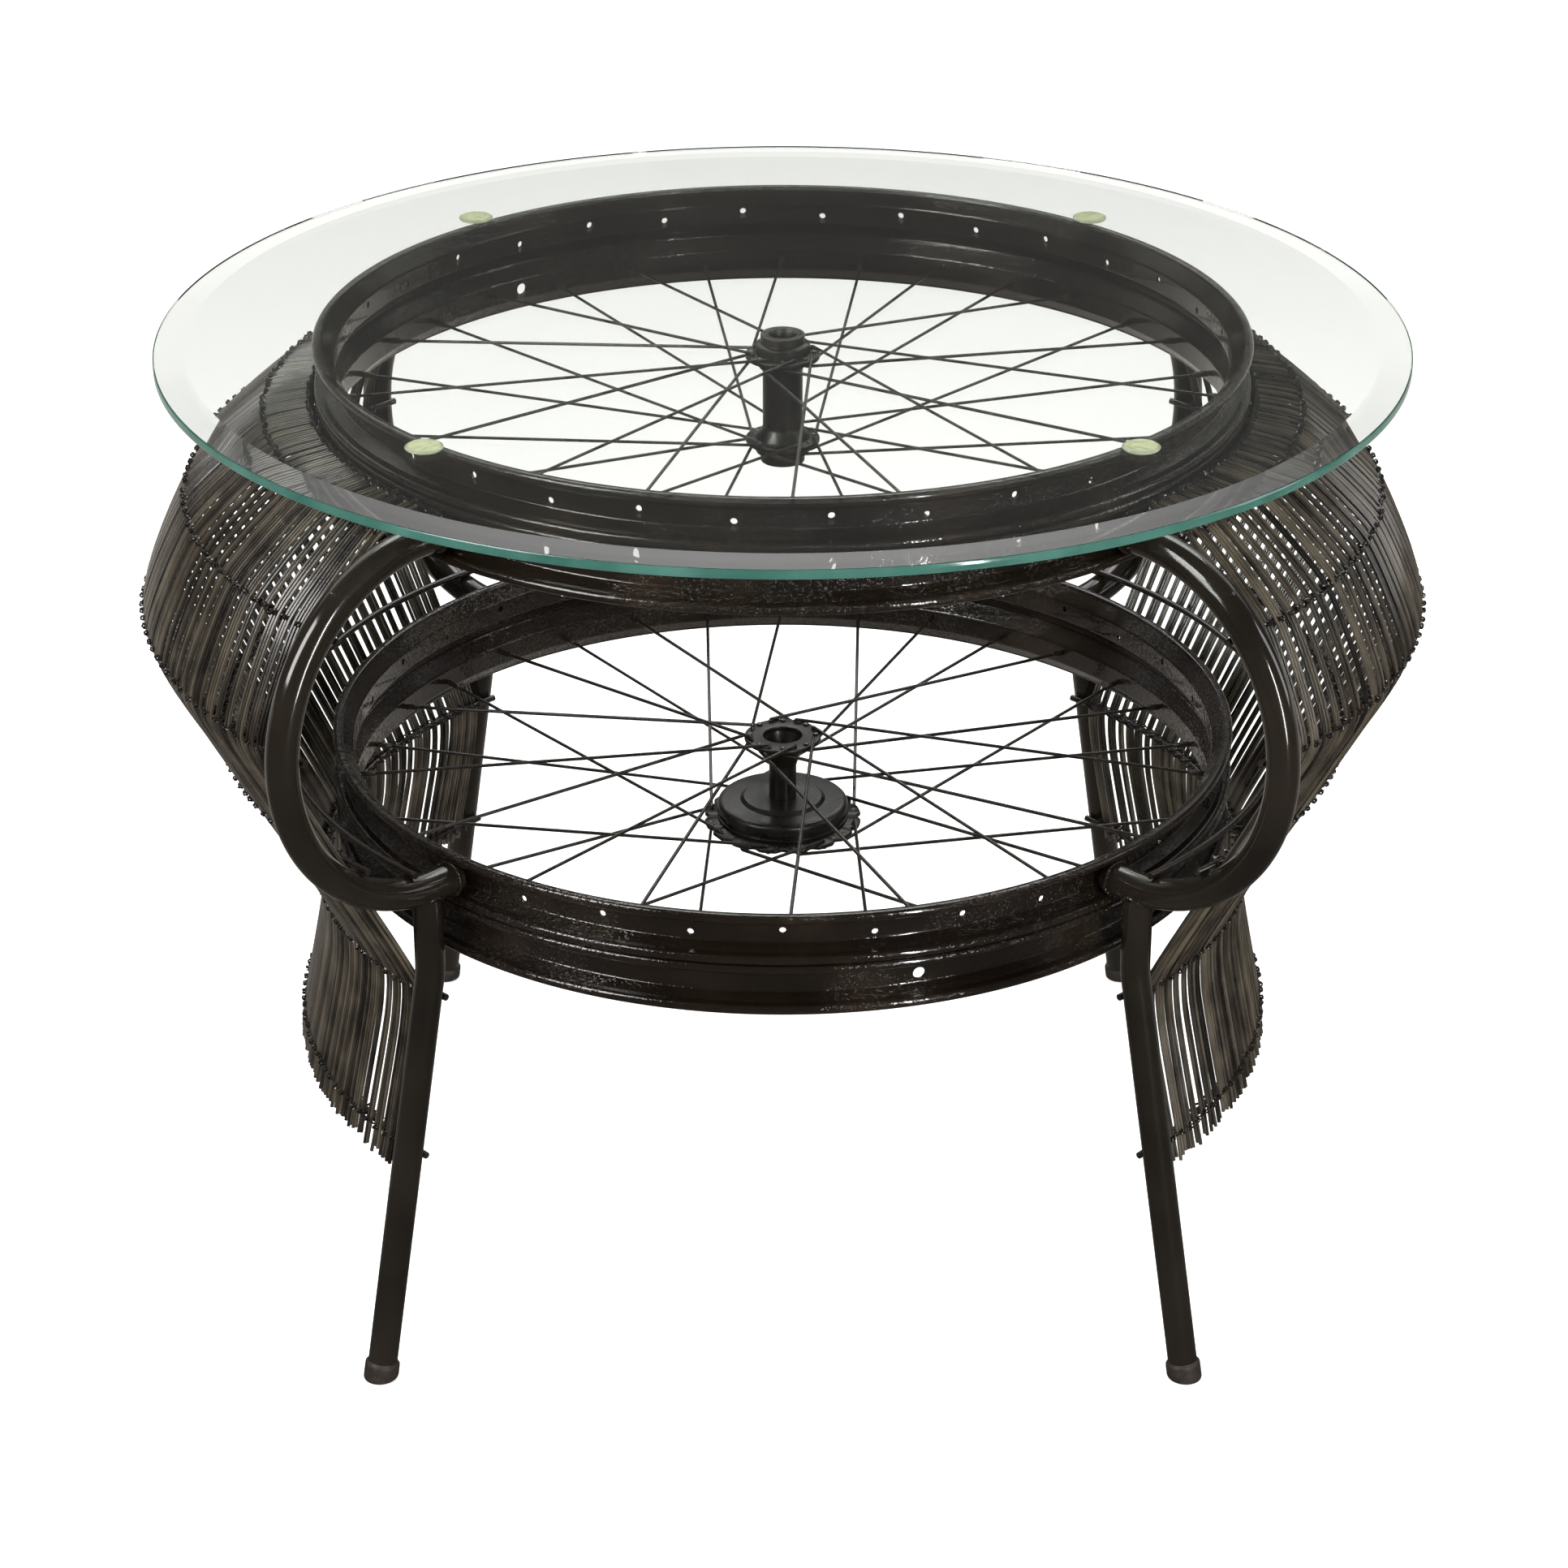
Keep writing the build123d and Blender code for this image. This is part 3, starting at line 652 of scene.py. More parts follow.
def punch(mesh, cutters, name):
    """The mesh with the closed cutters taken away."""
    body = bpy.data.objects.new(name + "_blank", mesh)
    tool = bpy.data.objects.new(name + "_tool", cutters.mesh(name + "_tool"))
    for item in (body, tool):
        bpy.context.scene.collection.objects.link(item)
    cut = body.modifiers.new("punch", "BOOLEAN")
    cut.object, cut.operation, cut.solver = tool, "DIFFERENCE", "EXACT"
    graph = bpy.context.evaluated_depsgraph_get()
    made = bpy.data.meshes.new_from_object(body.evaluated_get(graph))
    for item in (body, tool):
        bpy.data.objects.remove(item)
    made.name = name
    return made


def hole_punch(shell, place, angle, z, diameter, sides=16):
    """Add a radial cutter through the well of a rim."""
    ends = polar(np.array([place.well - 0.004, place.well + 0.006]), angle, z, place.wheel.axis_y)
    shell.grid(pipe(ends, diameter / 2, sides), close_columns=True, caps=True)


def make_rim(place, name, middle, first_hole, valve):
    """One rim, open where it has no spokes, with its valve hole if it has one."""
    w = place.wheel
    shell = Shell().grid(lathe(rim_profile(place, middle), 384, w.axis_y), close_rows=True, close_columns=True)
    tools = Shell()
    if first_hole is not None:
        pitch = 2 * math.pi / w.spokes
        for index in range(w.spokes):
            hole_punch(tools, place, first_hole + index * pitch, middle + w.stagger * (-1) ** index, w.hole)
    if valve is not None:
        hole_punch(tools, place, valve, middle, w.valve_hole, 24)
    return punch(shell.mesh(name), tools, name)


def spoke_lines(place, rim_z, flange_z, flange_r, first):
    """Hub end, seat on the rim and way through the flange of each spoke of one flange."""
    w, h = place.wheel, place.hub
    pitch = 4 * math.pi / w.spokes
    circle = flange_r - w.wire * 2
    outward = 1 if flange_z > rim_z else -1
    seat_r = place.well - place.gap - w.nipple / 2 * circle / place.well
    lines = []
    for index in range(w.spokes // 2):
        side = 1 if index % 2 else -1
        angle = first + index * pitch
        seat = polar(seat_r, angle - side * pitch * w.crossings, rim_z + outward * w.stagger)
        hub = polar(circle, angle, flange_z)
        run = np.linalg.norm((seat - hub)[:2])
        way = (seat - hub)[:2] / run
        toward = hub[:2] @ way
        inside = math.sqrt(toward ** 2 + flange_r ** 2 - circle ** 2) - toward
        lift = h.thickness / 2 + w.wire / 2 + place.gap / 2
        if side == outward:
            lift += inside * abs(flange_z - seat[2]) / (run - inside)
        hub[2] += side * lift
        lines.append((hub, seat, side))
    return lines


def all_lines(place, upper):
    """Spoke lines of both flanges of one wheel."""
    w, h = place.wheel, place.hub
    step = 2 * math.pi / w.spokes
    if upper:
        middle = place.high_spoked + h.upper_lift
        return (spoke_lines(place, place.high_spoked, middle + h.upper_gap / 2, h.upper_flange / 2, 0)
                + spoke_lines(place, place.high_spoked, middle - h.upper_gap / 2, h.upper_flange / 2, step))
    plate = place.low_spoked - h.drum_drop - h.drum_height - h.ring_height - h.thickness / 2
    return (spoke_lines(place, place.low_spoked, place.low_spoked + h.lower_rise, h.lower_flange / 2, 0)
            + spoke_lines(place, place.low_spoked, plate, h.plate / 2, step))


def make_spokes(place, upper):
    """Spokes with a headed elbow through the flange, and their nipples."""
    w, h = place.wheel, place.hub
    wires, ends = Shell(), Shell()
    lift = np.array([0, w.axis_y, 0])
    for hub, seat, side in all_lines(place, upper):
        run = seat - hub
        size = np.linalg.norm(run)
        run /= size
        up = np.array([0, 0, side])
        drop = h.thickness + w.wire / 2 + 0.0014
        bend = 0.0011
        path = [hub - up * (drop + 0.0006), hub - up * drop, hub - up * (drop - 0.0006),
                hub - up * (drop - 0.0009), hub - up * bend, hub - up * bend * 0.35 + run * bend * 0.35,
                hub + run * bend, hub + run * 0.006]
        path += [hub + run * share for share in np.linspace(0.02, size - 0.004, 5)]
        radius = [w.wire * 0.3, w.wire * 0.9, w.wire * 0.95] + [w.wire / 2] * (len(path) - 3)
        girth = np.array(radius) + (w.enamel / 3 if upper else w.enamel)
        wires.grid(pipe(np.array(path) + lift, girth, 8), close_columns=True, caps=True)
        marks = np.array([0, 0.0004, 0.0018, 0.0026, 0.0105, 0.0117, 0.0122, 0.0138])
        girth = np.array([0.62, 0.80, 0.80, 1, 1, 0.9, 0.78, 0.78]) * w.nipple / 2
        body = seat - run[None, :] * (w.nipple_length - marks[:, None])
        ends.grid(pipe(body + lift, girth, 8), close_columns=True, caps=True)
    return wires, ends


# Hubs

def make_upper_hub(place):
    """Spool with two flanges, stepped collars and an open mouth."""
    h = place.hub
    middle = place.high_spoked + h.upper_lift
    top = h.upper_gap / 2 + h.thickness / 2
    half = [
        (h.bore / 2, top + 0.014, 0.0004), (h.neck / 2, top + 0.014, 0.0008), (h.neck / 2, top + 0.008, 0.0006),
        (h.collar / 2, top + 0.007, 0.0012), (h.collar / 2, top + 0.0004, 0.0006), (h.upper_flange / 2, top, 0.0009),
        (h.upper_flange / 2, top - h.thickness, 0.0009), (h.collar / 2, top - h.thickness, 0.0006),
        (h.barrel / 2, top - h.thickness - 0.008, 0.004),
    ]
    lower = [(r, -z, k) for r, z, k in reversed(half)]
    inside = [(h.bore / 2, -top - 0.005, 0.0004), (0.008, -top - 0.005, 0.0004),
              (0.008, top + 0.005, 0.0004), (h.bore / 2, top + 0.005, 0.0004)]
    outline = half + lower + inside
    profile = rounded([(r, middle + z) for r, z, _ in outline], [k for *_, k in outline], 4)
    return Shell().grid(lathe(profile, 96, place.wheel.axis_y), close_rows=True, close_columns=True)


def make_cups(place):
    """Bearing cups with rounded lips in the mouths of the upper hub."""
    h = place.hub
    middle = place.high_spoked + h.upper_lift
    top = h.upper_gap / 2 + h.thickness / 2 + 0.014
    shell = Shell()
    for way in (1, -1):
        outline = [(0.0102, top), (h.bore / 2 - 0.0003, top), (h.bore / 2 - 0.0003, top - 0.0087), (0.008, top - 0.0087)]
        profile = rounded([(r, middle + way * z) for r, z in outline], [0.0008, 0.0008, 0.0004, 0.0004], 3)
        shell.grid(lathe(profile, 64, place.wheel.axis_y), close_rows=True, close_columns=True)
    return shell


def make_lower_hub(place):
    """Flange with a round eye over a cone and a barrel."""
    h = place.hub
    top = place.low_spoked + h.lower_rise + h.thickness / 2
    foot = place.low_spoked - h.drum_drop + 0.0003
    barrel, eye = h.lower_barrel / 2, h.eye / 2
    outline = [
        (eye, top, 0.0008), (h.lower_flange / 2, top, 0.0012), (h.lower_flange / 2, top - h.thickness, 0.0012),
        (eye + 0.003, top - h.thickness, 0.003), (barrel, top - h.thickness - 0.020, 0.012), (barrel, foot, 0),
        (barrel - 0.003, foot, 0), (barrel - 0.003, top - h.thickness - 0.020, 0.008),
        (eye, top - h.thickness, 0.001),
    ]
    profile = rounded([(r, z) for r, z, _ in outline], [k for *_, k in outline], 5)
    return Shell().grid(lathe(profile, 96, place.wheel.axis_y), close_rows=True, close_columns=True)


def make_drum(place):
    """Brake drum with a rounded shoulder, a raised ring and a groove round its wall."""
    h = place.hub
    high = place.low_spoked - h.drum_drop
    shoulder = high - h.ring_height
    base = shoulder - h.drum_height
    ring, outside, bore = h.ring / 2, h.drum / 2, h.lower_barrel / 2 - 0.003
    outline = [
        (bore, high, 0.0004), (ring - 0.0025, high, 0.001), (ring, shoulder, 0.001), (outside, shoulder, 0.0055),
        (outside, base + 0.005, 0.0006), (outside - 0.0012, base + 0.0045, 0.0004),
        (outside - 0.0012, base + 0.003, 0.0004), (outside, base + 0.0025, 0.0006), (outside, base, 0.0008),
        (bore, base, 0.0004),
    ]
    profile = rounded([(r, z) for r, z, _ in outline], [k for *_, k in outline], 5)
    return Shell().grid(lathe(profile, 128, place.wheel.axis_y), close_rows=True, close_columns=True)


def make_plate(place):
    """Spoke flange whose edge dips between the spoke holes."""
    w, h = place.wheel, place.hub
    low = place.low_spoked - h.drum_drop - h.drum_height - h.ring_height - h.thickness
    half = w.spokes // 2
    angle = np.linspace(0, 2 * math.pi, half * 16, endpoint=False)
    first = 2 * math.pi / w.spokes
    dip = np.clip(-np.cos((angle - first) * half), 0, 1) ** 1.5 * 0.0030
    edge = h.plate / 2 - dip
    rows = []
    for inset, z in ((0.049, 0), (0.0008, 0), (0, 0.0008), (0, h.thickness - 0.0008), (0.0008, h.thickness),
                     (0.049, h.thickness)):
        r = np.maximum(edge - inset, 0.0072) if inset < 0.04 else np.full_like(edge, h.lower_barrel / 2 - 0.003)
        rows.append(polar(r, angle, low + z, w.axis_y))
    return Shell().grid(np.array(rows), close_rows=True, close_columns=True)


# Tubes, legs and caps

def scroll_path(place, azimuth):
    """Straight end, half circle and straight end in the radial plane."""
    w = place.wheel
    start = w.radius - w.bead_depth + 0.0003
    angle = np.linspace(math.pi / 2, -math.pi / 2, 73)
    arc = np.stack([place.bend_r + place.bend * np.cos(angle), place.bend_z + place.bend * np.sin(angle)], axis=1)
    lead = np.linspace(start, place.bend_r, 5)[:-1]
    top = np.stack([lead, np.full(4, place.high_spoked)], axis=1)
    end = np.stack([lead[::-1], np.full(4, place.low_open)], axis=1)
    return upright(np.vstack([top, arc, end]), azimuth, w.axis_y)


def make_scroll(place, azimuth):
    """Bent tube with a weld round each end."""
    w, t = place.wheel, place.tubes
    shell = Shell().grid(pipe(scroll_path(place, azimuth), t.tube / 2, 40), close_columns=True, caps=True)
    for z, seed in ((place.high_spoked, 1), (place.low_open, 2)):
        angle = np.linspace(0, 2 * math.pi, 72, endpoint=False)
        lump = np.random.default_rng(seed + int(azimuth % math.tau * 100)).normal(0, 0.00022, 72)
        across, up = (t.tube / 2 + 0.0004) * np.cos(angle), (t.tube / 2 + 0.0004) * np.sin(angle)
        out = np.full(72, w.radius - 0.0012) + 0.0004 * np.sin(angle * 5)
        ring = np.stack([out * math.cos(azimuth) - across * math.sin(azimuth),
                         out * math.sin(azimuth) + across * math.cos(azimuth) + w.axis_y, z + up], axis=1)
        girth = 0.0014 + 0.0003 * np.sin(angle * 23) + lump
        shell.grid(pipe(ring, girth, 8, closed=True), close_rows=True, close_columns=True)
    return shell


def leg_line(place):
    """Radius and height along a leg's centre line, from its top to its foot."""
    t = place.tubes
    top = place.bend_z - math.sqrt(place.bend ** 2 - t.leg_inset ** 2) - t.tube / 2 + 0.004
    foot = (t.foot - place.lean * 0.003, 0.003)
    line = rounded([(place.leg_r, top), (place.leg_r, t.knee), foot], [0, 0.070, 0], 8, closed=False)
    return np.vstack([line[0], line[0] + (line[1] - line[0]) * 0.5, line[1:]])


def make_leg(place, azimuth):
    """Leg with a weld round its saddle."""
    w, t = place.wheel, place.tubes
    shell = Shell().grid(pipe(upright(leg_line(place), azimuth, w.axis_y), t.leg / 2, 36), close_columns=True, caps=True)
    angle = np.linspace(0, 2 * math.pi, 72, endpoint=False)
    out = place.leg_r + t.leg / 2 * np.cos(angle)
    across = t.leg / 2 * np.sin(angle)
    middle = place.bend_z - np.sqrt(place.bend ** 2 - np.maximum(out - place.bend_r, 0) ** 2)
    z = middle - np.sqrt((t.tube / 2) ** 2 - across ** 2)
    ring = np.stack([out * math.cos(azimuth) - across * math.sin(azimuth),
                     out * math.sin(azimuth) + across * math.cos(azimuth) + w.axis_y, z], axis=1)
    girth = 0.0015 + 0.0003 * np.sin(angle * 19) + np.random.default_rng(int(azimuth % math.tau * 90)).normal(0, 0.0002, 72)
    shell.grid(pipe(ring, girth, 8, closed=True), close_rows=True, close_columns=True)
    return shell


def make_cap(place, azimuth):
    """Rubber cap along the leg, with a lip at its mouth and a flat rounded sole."""
    w, t = place.wheel, place.tubes
    way = np.array([place.lean, 0, -1]) / math.hypot(1, place.lean)
    side = np.cross([0, 1, 0], way)
    foot = np.array([t.foot, 0, 0])
    angle = np.linspace(0, 2 * math.pi, 48, endpoint=False)
    ring = np.cos(angle)[:, None] * side + np.sin(angle)[:, None] * np.array([0, 1, 0])
    rows = []
    outside = t.cap / 2
    for along, r in ((-0.001, t.leg / 2 + 0.0004), (0, t.leg / 2 + 0.0010), (0.0003, outside - 0.0007), (0.001, outside - 0.0001),
                     (0.003, outside), (0.007, outside), (0.0085, outside)):
        rows.append(foot - way * (t.cap_height - along) + ring * r)
    for r, z in ((outside, 0.0016), (outside - 0.0004, 0.0006), (outside - 0.0014, 0)):
        edge = foot + ring * r
        rows.append(edge - way * ((edge[:, 2] - z) / way[2])[:, None])
    points = np.array(rows)
    turned = np.stack([points[..., 0] * math.cos(azimuth) - points[..., 1] * math.sin(azimuth),
                       points[..., 0] * math.sin(azimuth) + points[..., 1] * math.cos(azimuth) + w.axis_y,
                       points[..., 2]], axis=-1)
    return Shell().grid(turned, close_columns=True, caps=True)


# Cane sides

def make_rods(place, heading):
    """The eight curved rods of one side."""
    c, t = place.cane, place.tubes
    rows = place.rows()
    shell = Shell()
    spans = {"top": -math.sqrt((t.tube / 2) ** 2 - (rows["top"][1] - place.high_spoked - c.rod / 2) ** 2) - place.gap,
             "a": -math.sqrt((t.tube / 2) ** 2 - (c.rise_a - c.rod / 2) ** 2) - place.gap,
             "e": t.leg / 2 + c.stub}
    for name, (r, z) in rows.items():
        half = t.azimuth + spans.get(name, t.tube / 2 + c.stub) / r
        path = arc_path(r, z, half, 72, 0, heading, place.wheel.axis_y)
        shell.grid(pipe(path, c.rod / 2, 10), close_columns=True, caps=True)
    middle, centre, bend = place.apron()
    side = place.leg_side(c.height_f)
    half = math.acos((side * math.cos(t.azimuth) - centre) / bend) + (t.leg / 2 + c.stub) / bend
    path = arc_path(bend, c.height_f, half, 72, centre, heading, place.wheel.axis_y)
    return shell.grid(pipe(path, c.rod / 2, 10), close_columns=True, caps=True)


def make_cane(place, heading, seed, shares):
    """Groups of two to four round strands over the rods, each a little uneven."""
    c = place.cane
    chance, tones = np.random.default_rng(seed), np.random.default_rng(seed + 50)
    shell = Shell()
    for angle in place.groups():
        line = offset(place.cane_line(angle), c.rod / 2 + place.gap + c.strand / 2)
        wander, pace, phase = chance.uniform(0.0002, 0.0009), chance.uniform(5, 11), chance.uniform(0, 6)
        strands = chance.choice([2, 3, 4], p=shares)
        for place_in_group in np.arange(strands) - (strands - 1) / 2:
            ends = line.copy()
            ends[0] = line[0] + (line[1] - line[0]) * chance.uniform(0, 0.05)
            ends[-1] += (line[-1] - line[-2]) * chance.uniform(-0.30, 0.0)
            curve = smooth(ends, 7)
            share = np.linspace(0, 1, len(curve))
            split = 1 + 0.10 * (1 + np.sin(share * pace * 1.7 + phase))
            drift = place_in_group * c.strand * split + wander * np.sin(share * pace + phase)
            drift = drift + 0.0002 * np.sin(share * chance.uniform(14, 26) + chance.uniform(0, 6))
            points = upright(curve, heading + angle, place.wheel.axis_y)
            across = np.array([-math.sin(heading + angle), math.cos(heading + angle), 0])
            points = points + across * drift[:, None]
            girth = c.strand / 2 * (0.95 + 0.05 * np.sin(share * 31 + chance.uniform(0, 6)))
            shell.grid(place.kept(pipe(points, girth, 7)), close_columns=True, caps=True, tone=tones.uniform(0.01, 1))
    return shell


def make_ties(place, heading, seed):
    """Two crossed loops of wire, a knot and a twisted end at every crossing of a group and a rod."""
    c = place.cane
    chance = np.random.default_rng(seed)
    shell = Shell()
    wire = c.tie_wire / 2
    round_share = np.linspace(0, 2 * math.pi, 10, endpoint=False)
    knot_share = np.linspace(0, 1, 13)
    for angle in place.groups():
        line = np.array(place.cane_line(angle))
        normals = offset(line, 1.0) - line
        normals /= np.linalg.norm(normals, axis=1)[:, None]
        out = np.array([math.cos(heading + angle), math.sin(heading + angle), 0])
        across = np.array([-out[1], out[0], 0])
        for row in (0, 1, 2, 3, 5, 6, 8):
            centre = upright(line[row:row + 1], heading + angle, place.wheel.axis_y)[0]
            up = out * normals[row][0] + np.array([0, 0, normals[row][1]])
            along = np.cross(across, up)
            high = c.rod / 2 + place.gap + c.strand + wire * 0.6
            low = -c.rod / 2 - wire
            wide, tall = c.strand * 1.45 + wire * 0.6, c.rod / 2 + wire
            for lean in (-1, 1):
                x = wide * np.cos(round_share) * chance.uniform(0.92, 1.06)
                y = lean * np.cos(round_share) * tall * chance.uniform(0.5, 0.95) + chance.uniform(-0.0006, 0.0006)
                z = (high + low) / 2 + (high - low) / 2 * np.sin(round_share)
                loop = centre + across * x[:, None] + along * y[:, None] + up * z[:, None]
                shell.grid(place.kept(pipe(loop, wire, 5, closed=True)), close_rows=True, close_columns=True)
            curl = knot_share * chance.uniform(9, 13) + chance.uniform(0, 6)
            size = 0.0011 * (0.7 + 0.6 * np.sin(knot_share * math.pi))
            x = (knot_share - 0.5) * chance.uniform(0.0040, 0.0062) + chance.uniform(-0.0012, 0.0012)
            knot = (centre + across * x[:, None] + along * (size * np.cos(curl) + chance.uniform(-0.0012, 0.0012))[:, None]
                    + up * (high + 0.0006 + size * np.sin(curl))[:, None])
            shell.grid(place.kept(pipe(knot, wire * 0.95, 5)), close_columns=True, caps=True)
            bend = chance.uniform(-1, 1, 3)
            tail = [centre + up * (low - 0.0002), centre + up * (low - 0.0016) + along * 0.001 * bend[0],
                    centre + up * (low - 0.0030) + along * 0.0022 * bend[1] + across * 0.0018 * bend[2]]
            shell.grid(pipe(np.array(tail), wire * 1.3, 5), close_columns=True, caps=True)
    return shell


# Glass

def make_glass(place):
    """Disc with a wide ground bevel, a flat edge and small arrises."""
    g = place.glass
    low = place.glass_low
    outline = [(g.radius - 0.0011, low), (g.radius - 0.0010, low + 0.0001), (g.radius - 0.0010, low + g.edge - 0.0001),
               (g.radius - 0.0011, low + g.edge), (g.radius - g.bevel, low + g.thickness)]
    under = [(r, low) for r in (0.0005, 0.1, 0.2, 0.3, 0.4)]
    over = [(r, low + g.thickness) for r in (0.4, 0.3, 0.2, 0.1, 0.0005)]
    return Shell().grid(lathe(under + outline + over, 512), close_columns=True, caps=True)


def make_edge(place):
    """Thin band round the glass, where the eye meets the deepest green."""
    g = place.glass
    low = place.glass_low
    outline = [(g.radius - 0.0008, low + 0.0001), (g.radius - 0.0006, low), (g.radius, low + 0.0006),
               (g.radius, low + g.edge - 0.0006), (g.radius - 0.0006, low + g.edge), (g.radius - 0.0008, low + g.edge - 0.0001)]
    return Shell().grid(lathe(outline, 512), close_rows=True, close_columns=True)


def make_pads(place):
    """Soft round pads with rounded shoulders."""
    g, w = place.glass, place.wheel
    half = g.pad / 2
    profile = rounded([(0.0002, 0), (half - 0.0012, 0), (half, g.pad_height * 0.55), (half - 0.0022, g.pad_height),
                       (0.0002, g.pad_height)], [0, 0.0008, 0.0010, 0.0015, 0], 5, closed=False)
    shell = Shell()
    for corner in CORNERS.values():
        azimuth = corner_angle(place, corner)
        points = lathe(profile, 48)
        points = points + polar(w.radius + g.pad_reach, azimuth, place.top, w.axis_y)
        shell.grid(points, close_columns=True, caps=True)
    return shell


def corner_angle(place, corner):
    """Azimuth of a corner, counted in odd eighths of a turn."""
    base = place.tubes.azimuth
    return {1: base, 3: math.pi - base, 5: math.pi + base, 7: -base}[corner]


# Operators

class TableOperator(Operator):
    """Base of the operators: gives each one the worked out places."""
    bl_options = {"REGISTER"}

    def execute(self, context):
        self.build(Place(context.scene))
        return {"FINISHED"}


class TABLE_OT_rims(TableOperator):
    """Four rims with rolled beads, spoke holes and valve holes"""
    bl_idname = "table.rims"
    bl_label = "Rims"

    def build(self, place):
        enamel = rim_paint()
        step = 2 * math.pi / place.wheel.spokes
        for name, middle, first, valve in (
                ("upper_open_rim", place.high_open, step / 2, None),
                ("upper_spoked_rim", place.high_spoked, None, math.pi - step * 4.5),
                ("lower_open_rim", place.low_open, 0.0, None),
                ("lower_spoked_rim", place.low_spoked, None, -math.pi / 2 + step * 1.5)):
            show(name + "_skin", make_rim(place, name, middle, first, valve), enamel, "stand", name)


class TABLE_OT_lacing(TableOperator):
    """Spokes, elbows and nipples of both wheels"""
    bl_idname = "table.lacing"
    bl_label = "Lacing"

    def build(self, place):
        enamel = wire_paint()
        for name, upper in (("upper", True), ("lower", False)):
            wires, ends = make_spokes(place, upper)
            show(name + "_spoke_wires", wires, enamel, "stand", name + "_spokes")
            show(name + "_nipple_bodies", ends, enamel, "stand", name + "_nipples")


class TABLE_OT_hubs(TableOperator):
    """Upper hub, lower hub, brake drum and spoke flange"""
    bl_idname = "table.hubs"
    bl_label = "Hubs"

    def build(self, place):
        enamel = hub_paint()
        show("upper_hub_body", make_upper_hub(place), enamel, "stand", "upper_hub_shell")
        show("upper_hub_lips", make_cups(place), enamel, "stand", "upper_hub_cups")
        show("lower_hub_body", make_lower_hub(place), enamel, "stand", "lower_hub_shell")
        show("drum_body", make_drum(place), enamel, "stand", "brake_drum")
        show("plate_body", make_plate(place), enamel, "stand", "spoke_plate")
        carried_over(enamel, "brake_back_plate")


class TABLE_OT_tubes(TableOperator):
    """Four bent tubes, four legs and their caps"""
    bl_idname = "table.tubes"
    bl_label = "Tubes"

    def build(self, place):
        enamel, rubber = tube_paint(), rubber_paint()
        for name, corner in CORNERS.items():
            azimuth = corner_angle(place, corner)
            show("scroll_" + name, make_scroll(place, azimuth), enamel, "stand", "scroll_tube_" + name)
            show("upright_" + name, make_leg(place, azimuth), enamel, "stand", "leg_" + name)
            show("ferrule_" + name, make_cap(place, azimuth), rubber, "stand", "foot_cap_" + name)


class TABLE_OT_cane(TableOperator):
    """Rods, strands and wire ties of both sides"""
    bl_idname = "table.cane"
    bl_label = "Cane"

    def build(self, place):
        enamel, cane, wire = rod_paint(), cane_paint(), wire_paint()
        for side, heading, seed, shares in (("right", 0.0, 11, (0.42, 0.54, 0.04)),
                                            ("left", math.pi, 12, (0.12, 0.70, 0.18))):
            show("rods_" + side, make_rods(place, heading), enamel, "stand", "cane_rods_" + side)
            show("strands_" + side, make_cane(place, heading, seed, shares), cane, "stand", "cane_strands_" + side)
            show("ties_" + side, make_ties(place, heading, seed + 10), wire, "stand")


class TABLE_OT_glass(TableOperator):
    """Glass top and its pads"""
    bl_idname = "table.glass"
    bl_label = "Glass"

    def build(self, place):
        show("glass_disc", make_glass(place), glass_paint(), "glass", "glass_top", sharp=3)
        show("glass_band", make_edge(place), edge_paint(), "glass")
        show("pad_discs", make_pads(place), pad_paint(), "stand", "glass_pads")


class TABLE_OT_stage(TableOperator):
    """Floor, light and camera"""
    bl_idname = "table.stage"
    bl_label = "Stage"

    def build(self, place):
        s = place.stage
        floor = Shell().grid([[(-s.floor, -s.floor, -0.0004), (s.floor, -s.floor, -0.0004)],
                              [(-s.floor, s.floor, -0.0004), (s.floor, s.floor, -0.0004)]])
        mesh = floor.mesh("floor")
        mesh.materials.append(floor_paint())
        plane = bpy.data.objects.new("floor", mesh)
        bpy.context.scene.collection.objects.link(plane)
        lamp("key", (-2.0, -1.5, 2.2), (1.1, 1.6), 60)
        lamp("strip", (1.5, -2.6, 1.1), (0.15, 1.8), 44)
        lamp("side", (2.6, -0.2, 1.5), (0.8, 1.6), 14)
        lamp("top", (0.2, 1.5, 3.0), (2.4, 1.0), 30)
        sky()
        data = bpy.data.cameras.new("camera")
        data.sensor_fit, data.sensor_width, data.lens = "HORIZONTAL", 36.0, s.lens
        data.shift_x = s.shift
        view = bpy.data.objects.new("camera", data)
        bpy.context.scene.collection.objects.link(view)
        back = Vector((0, -math.cos(s.elevation), math.sin(s.elevation)))
        view.location = Vector((0, place.wheel.axis_y, s.target)) + back * s.distance
        view.rotation_euler = (-back).to_track_quat("-Z", "Y").to_euler()
        bpy.context.scene.camera = view
        bpy.context.scene.view_settings.view_transform = "Standard"


def carried_over(material, *names):
    """Give carried-over solids a better material."""
    for name in names:
        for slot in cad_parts[name].material_slots:
            slot.material = material


def lamp(name, spot, size, power):
    """Soft rectangular lamp that faces the table."""
    data = bpy.data.lights.new(name, "AREA")
    data.shape, data.size, data.size_y, data.energy = "RECTANGLE", size[0], size[1], power
    item = bpy.data.objects.new(name, data)
    bpy.context.scene.collection.objects.link(item)
    item.location = spot
    item.rotation_euler = (Vector((0, 0, 0.4)) - Vector(spot)).to_track_quat("-Z", "Y").to_euler()


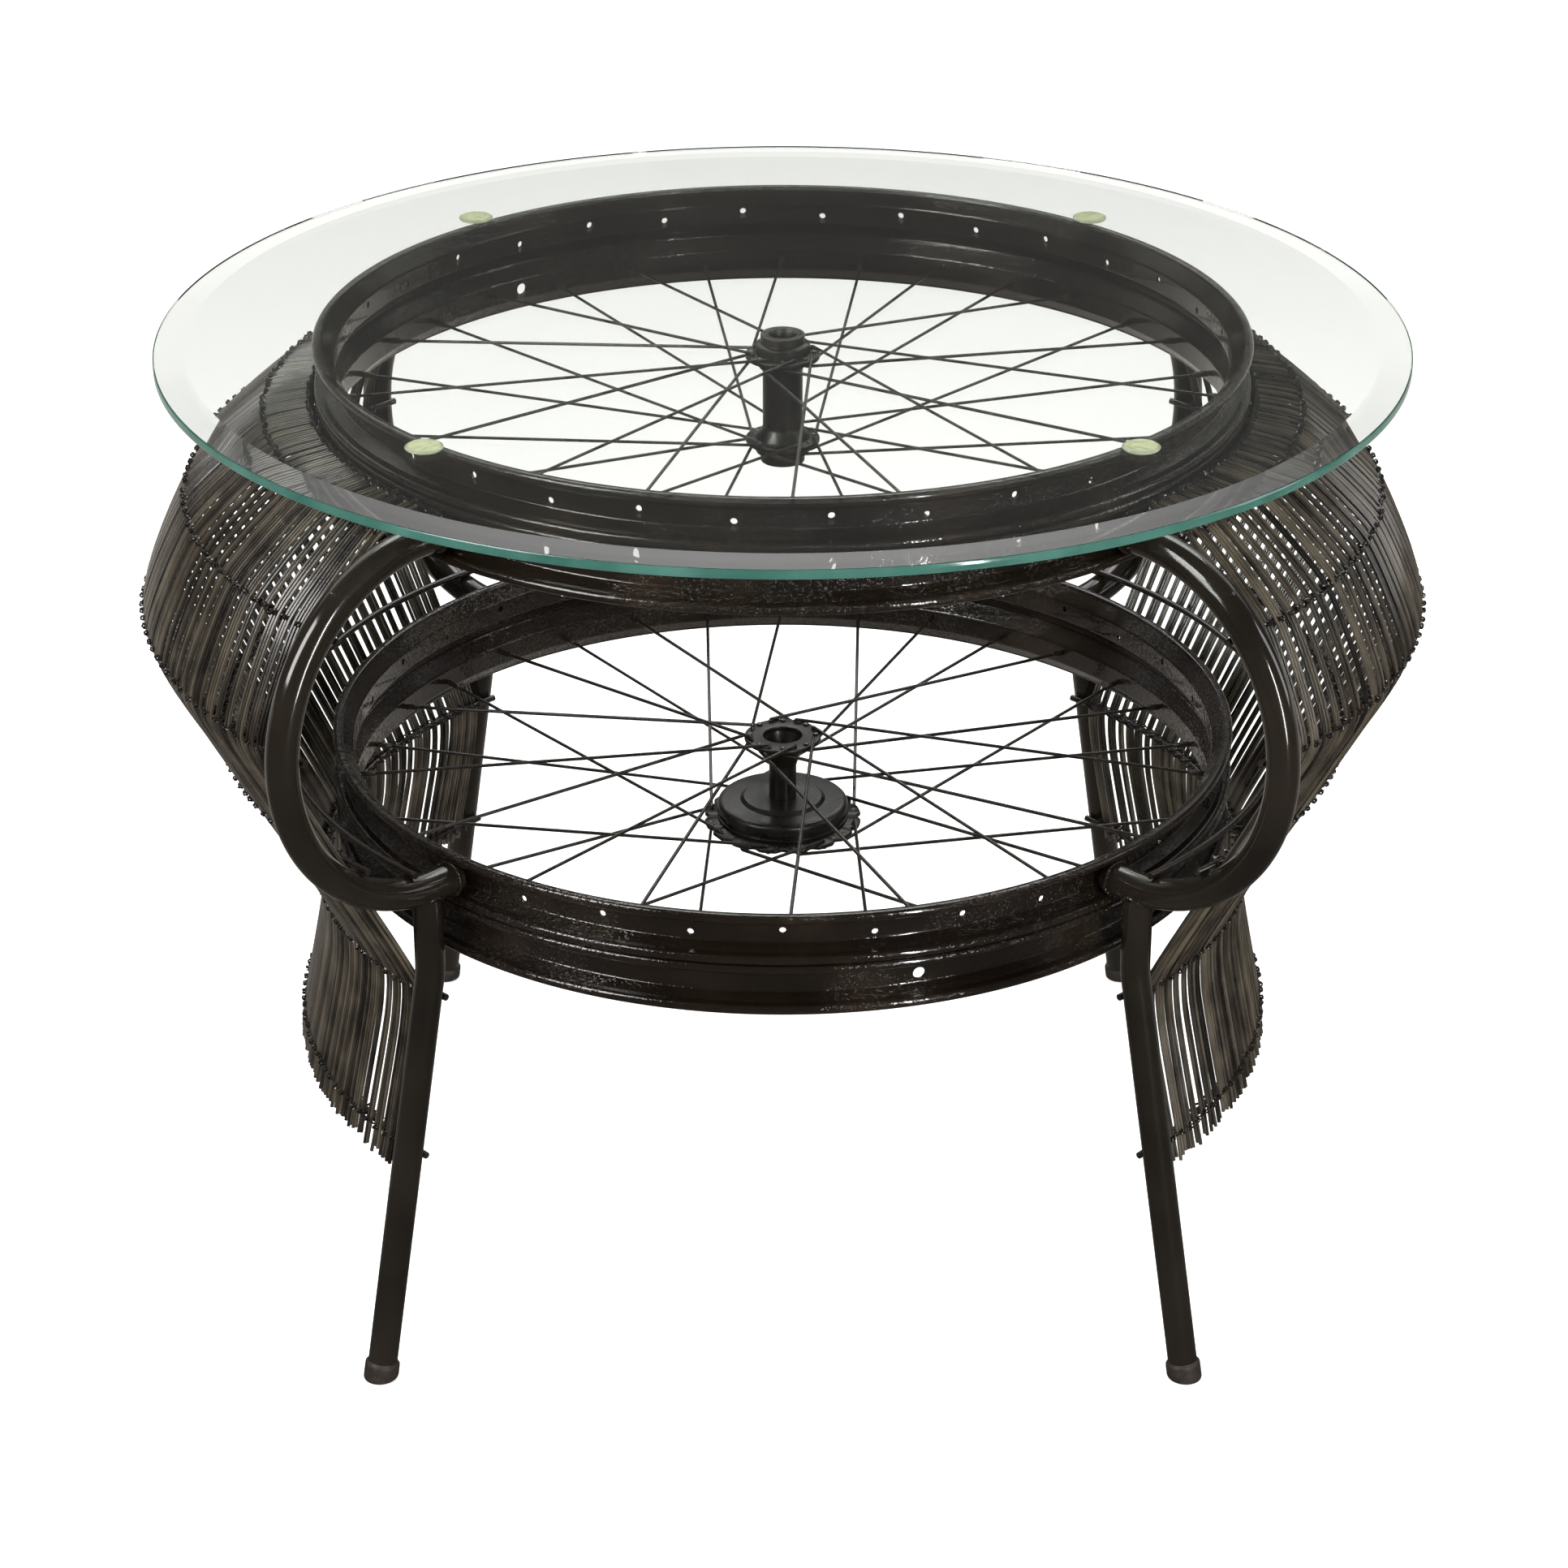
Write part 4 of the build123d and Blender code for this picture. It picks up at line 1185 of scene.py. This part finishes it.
def sky():
    """Pale surround, dark in reflections but for a soft glow high at the back."""
    world = bpy.data.worlds.new("surround")
    bpy.context.scene.world = world
    world.use_nodes = True
    tree = world.node_tree
    path = node(tree, "ShaderNodeLightPath")
    way = node(tree, "ShaderNodeSeparateXYZ", {"Vector": node(tree, "ShaderNodeTexCoord").outputs["Generated"]})
    glow = node(tree, "ShaderNodeMath", {0: span(tree, way.outputs["Z"], 0.40, 0.54, 0, 1),
                                         1: span(tree, way.outputs["Y"], 0.3, 0.8, 0, 2.1)}, operation="MULTIPLY")
    mirrored = node(tree, "ShaderNodeMath", {0: glow.outputs["Value"], 1: 0.07}, operation="ADD")
    strength = node(tree, "ShaderNodeMix", {"Factor": path.outputs["Is Glossy Ray"], "A": 0.85,
                                            "B": mirrored.outputs["Value"]}).outputs["Result"]
    seen = node(tree, "ShaderNodeMath", {0: strength, 1: path.outputs["Is Camera Ray"]}, operation="MAXIMUM")
    tree.links.new(seen.outputs["Value"], tree.nodes["Background"].inputs["Strength"])
    tree.nodes["Background"].inputs["Color"].default_value = (1, 1, 1, 1)


class TABLE_PT_panel(Panel):
    """Sidebar panel with the sizes and one button for each group of pieces"""
    bl_label = "Coffee table"
    bl_idname = "TABLE_PT_panel"
    bl_space_type = "VIEW_3D"
    bl_region_type = "UI"
    bl_category = "Table"

    def draw(self, context):
        for made in OPERATORS:
            self.layout.operator(made.bl_idname)
        for name, group in GROUPS.items():
            box = self.layout.box()
            box.label(text=group.__name__)
            for key in group.__annotations__:
                box.prop(getattr(context.scene, name), key)


GROUPS = {"table_wheels": WheelSizes, "table_hubs": HubSizes, "table_tubes": TubeSizes,
          "table_cane": CaneSizes, "table_glass": GlassSizes, "table_stage": StageSizes}
OPERATORS = (TABLE_OT_rims, TABLE_OT_lacing, TABLE_OT_hubs, TABLE_OT_tubes, TABLE_OT_cane, TABLE_OT_glass,
             TABLE_OT_stage)
CLASSES = (*GROUPS.values(), *OPERATORS, TABLE_PT_panel)


def register():
    for made in CLASSES:
        bpy.utils.register_class(made)
    for name, group in GROUPS.items():
        setattr(bpy.types.Scene, name, PointerProperty(type=group))


def unregister():
    for name in GROUPS:
        delattr(bpy.types.Scene, name)
    for made in reversed(CLASSES):
        bpy.utils.unregister_class(made)


def main():
    """Dress the table."""
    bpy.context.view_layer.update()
    register()
    for name in ("rims", "lacing", "hubs", "tubes", "cane", "glass", "stage"):
        getattr(bpy.ops.table, name)()


if __name__ == "__main__":
    main()
